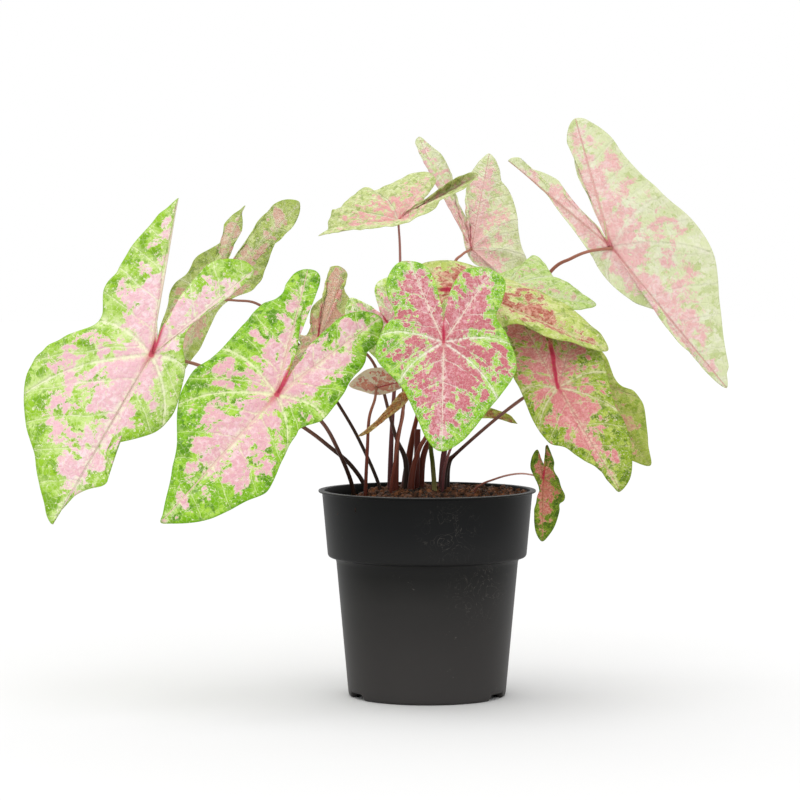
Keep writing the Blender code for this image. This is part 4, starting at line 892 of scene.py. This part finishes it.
def makePot(material):
    # A turned section: radius and height along the profile by angle. Where a notch is, the
    # foot's lower edge is lifted to the notch's height, with slanted ends.
    wall, top, base = pot["wall"], pot["height"], pot["base"]
    floorTop, footIn = pot["floorZ"] + pot["floor"], base - pot["footInset"] - pot["foot"]
    profile = roundedProfile([
        (0.0, floorTop, 0.0), (base - wall, floorTop, 1.8),
        (pot["bodyTop"] - wall, pot["stepZ"] + 1.0, 0.8),
        (pot["collarFoot"] - wall, pot["collarFootZ"] + 0.9, 1.4),
        (pot["collarTop"] - wall, top, 0.5), (pot["rim"], top, 0.45),
        (pot["rim"], top - pot["lip"], 0.45), (pot["collarTop"], top - pot["lip"] - 0.3, 0.4),
        (pot["collarFoot"], pot["collarFootZ"] - 0.4, 1.6),
        (pot["bodyTop"] + 1.2, pot["stepZ"] + 0.3, 0.8), (pot["bodyTop"], pot["stepZ"] - 1.4, 1.0),
        (base, 0.0, 2.2), (footIn, 0.0, 0.6), (footIn, pot["floorZ"], 0.4),
        (pot["boss"], pot["floorZ"], 0.3), (pot["boss"], 0.0, 0.5), (0.0, 0.0, 0.0),
    ])
    # The long walls get rows of their own, so that the faces stay even.
    pieces = [profile[:1]]
    for a, b in zip(profile[:-1], profile[1:]):
        count = max(1, int(np.ceil(np.linalg.norm(b - a) / pot["rowHeight"])))
        pieces.append(a + (b - a) * np.linspace(0.0, 1.0, count + 1)[1:, None])
    profile = np.vstack(pieces)
    turn = 2 * math.pi * np.arange(pot["spokes"]) / pot["spokes"]
    ringRadius, ringZ = profile[1:-1, 0][:, None], profile[1:-1, 1][:, None]
    fromFront = np.degrees(np.arctan2(np.sin(turn + math.pi / 2), np.cos(turn + math.pi / 2)))
    lift = np.zeros(len(turn))
    for notch in pot["notches"]:
        arc = np.radians(np.abs((fromFront - notch + 180.0) % 360.0 - 180.0)) * base
        slant = (0.5 * pot["notchWidth"] - arc) / pot["notchChamfer"] * pot["notchHeight"]
        lift = np.maximum(lift, np.clip(slant, 0.0, pot["notchHeight"]))
    isFoot = (ringRadius > footIn - 0.3) & (ringZ < pot["notchHeight"] + 0.3)
    z = np.where(isFoot, np.maximum(ringZ, lift), ringZ + 0.0 * lift)
    points = np.stack([ringRadius * np.cos(turn), ringRadius * np.sin(turn), z], axis=-1)
    points = np.vstack([points.reshape(-1, 3), (0.0, 0.0, profile[0, 1]), (0.0, 0.0, 0.0)]) * mm
    # This marks the inner wall from the floor up to the lip, which the material paints near black
    # as painted shade.
    insideShade = np.zeros(len(ringZ))
    insideShade[:1 + int(np.argmax(ringZ[:, 0] > top - 0.6))] = 1.0
    insideShade = np.append(np.repeat(insideShade, len(turn)), [1.0, 0.0])
    newPiece("potShell", points, tubeFaces(len(ringZ), len(turn)), material,
             ["pot"], {"insideShade": insideShade})


makePot(plasticMaterial())
print("pot made")

# The soil: the CAD filling gets the peat finish, and crumbs and perlite lie over its top.
soil = {"middleZ": 112.6, "leftDip": 7.0, "edgeDrop": 3.0, "lump": 0.7, "reach": 55.2,
        "crumbs": 5400, "crumbSize": (0.4, 2.1), "perlite": 46, "perliteSize": (0.3, 0.9),
        "seed": 7}


def peatMaterial():
    # Moist peat substrate: dark brown crumbs, matt. The tint changes over about 2 mm and from
    # crumb to crumb.
    material, node = newMaterial("moistPeat", Roughness=0.8, Specular_IOR_Level=0.3)
    tint = node("noise", node("object"), 480.0, 6.0, 0.7)
    tint = node("MULTIPLY_ADD", node("attribute", attribute_name="grade"), 0.32, tint)
    color = node("ramp", tint, stops=((0.44, "#0e0502"), (0.86, "#7c4c2c")))
    return finishMaterial(material, color, tint, 0.8, 0.0006)


def perliteMaterial():
    # Expanded perlite: white, matt, finely pitted.
    material, node = newMaterial("perlite", Roughness=0.85)
    pits = node("noise", node("object"), 2500.0, 2.0)  # 0.4 mm
    return finishMaterial(material, "#e9e4da", pits, 0.5, 0.0002)


def soilHeight(x, y):
    # A low mound. It dips at the left by a logistic curve around x = -36, and towards the wall
    # by a fourth power, and sines make its lumps.
    left = 1.0 / (1.0 + np.exp((x + 36.0) / 5.0))
    edge = (np.hypot(x, y) / pot["collarTop"]) ** 4
    lump = np.sin(0.31 * x + 1.0) * np.sin(0.27 * y + 2.0) + 0.6 * np.sin(0.55 * x - 0.43 * y)
    return (soil["middleZ"] - soil["leftDip"] * left - soil["edgeDrop"] * edge
            + soil["lump"] * lump)


def makeCrumbs(name, count, sizes, rng, material):
    # Icosahedra scattered by area over the soil, a few large and many small ones. Each has its
    # corners jittered by up to 0.4, is stretched by 0.6 to 1.4 along each axis, and is turned.
    golden = (1 + math.sqrt(5)) / 2
    corners = [(-1, golden, 0), (1, golden, 0), (-1, -golden, 0), (1, -golden, 0),
               (0, -1, golden), (0, 1, golden), (0, -1, -golden), (0, 1, -golden),
               (golden, 0, -1), (golden, 0, 1), (-golden, 0, -1), (-golden, 0, 1)]
    faces = [(0, 11, 5), (0, 5, 1), (0, 1, 7), (0, 7, 10), (0, 10, 11), (1, 5, 9), (5, 11, 4),
             (11, 10, 2), (10, 7, 6), (7, 1, 8), (3, 9, 4), (3, 4, 2), (3, 2, 6), (3, 6, 8),
             (3, 8, 9), (4, 9, 5), (2, 4, 11), (6, 2, 10), (8, 6, 7), (9, 8, 1)]
    unit = np.array(corners) / math.hypot(1, golden)
    radius = soil["reach"] * np.sqrt(rng.random(count))
    turn = 2 * math.pi * rng.random(count)
    x, y = radius * np.cos(turn), radius * np.sin(turn)
    size = sizes[0] + (sizes[1] - sizes[0]) * rng.random(count) ** 3
    shape = unit[None] * (1.0 + 0.8 * (rng.random((count, 12, 1)) - 0.5))
    stretch = size[:, None] * (0.6 + 0.8 * rng.random((count, 3)))
    a, b, c = np.moveaxis(shape * stretch[:, None, :], 2, 0)
    spin = 2 * math.pi * rng.random(count)
    cos, sin = np.cos(spin)[:, None], np.sin(spin)[:, None]
    turned = np.stack([a * cos - b * sin, a * sin + b * cos, c], axis=-1)
    center = np.stack([x, y, soilHeight(x, y) + 0.1 * size], axis=-1)
    points = (turned + center[:, None, :]).reshape(-1, 3) * mm
    faces = (np.array(faces)[None] + 12 * np.arange(count)[:, None, None]).reshape(-1, 3)
    grade = np.repeat(rng.random(count) ** 2, 12)
    newPiece(name, points, [faces], material, values={"grade": grade},
             smooth=False)


peat = peatMaterial()
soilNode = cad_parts["soil"]
soilNode.data.materials.clear()
soilNode.data.materials.append(peat)
rng = np.random.default_rng(soil["seed"])
makeCrumbs("soilCrumbs", soil["crumbs"], soil["crumbSize"], rng, peat)
makeCrumbs("perliteBits", soil["perlite"], soil["perliteSize"], rng, perliteMaterial())
print("soil made")
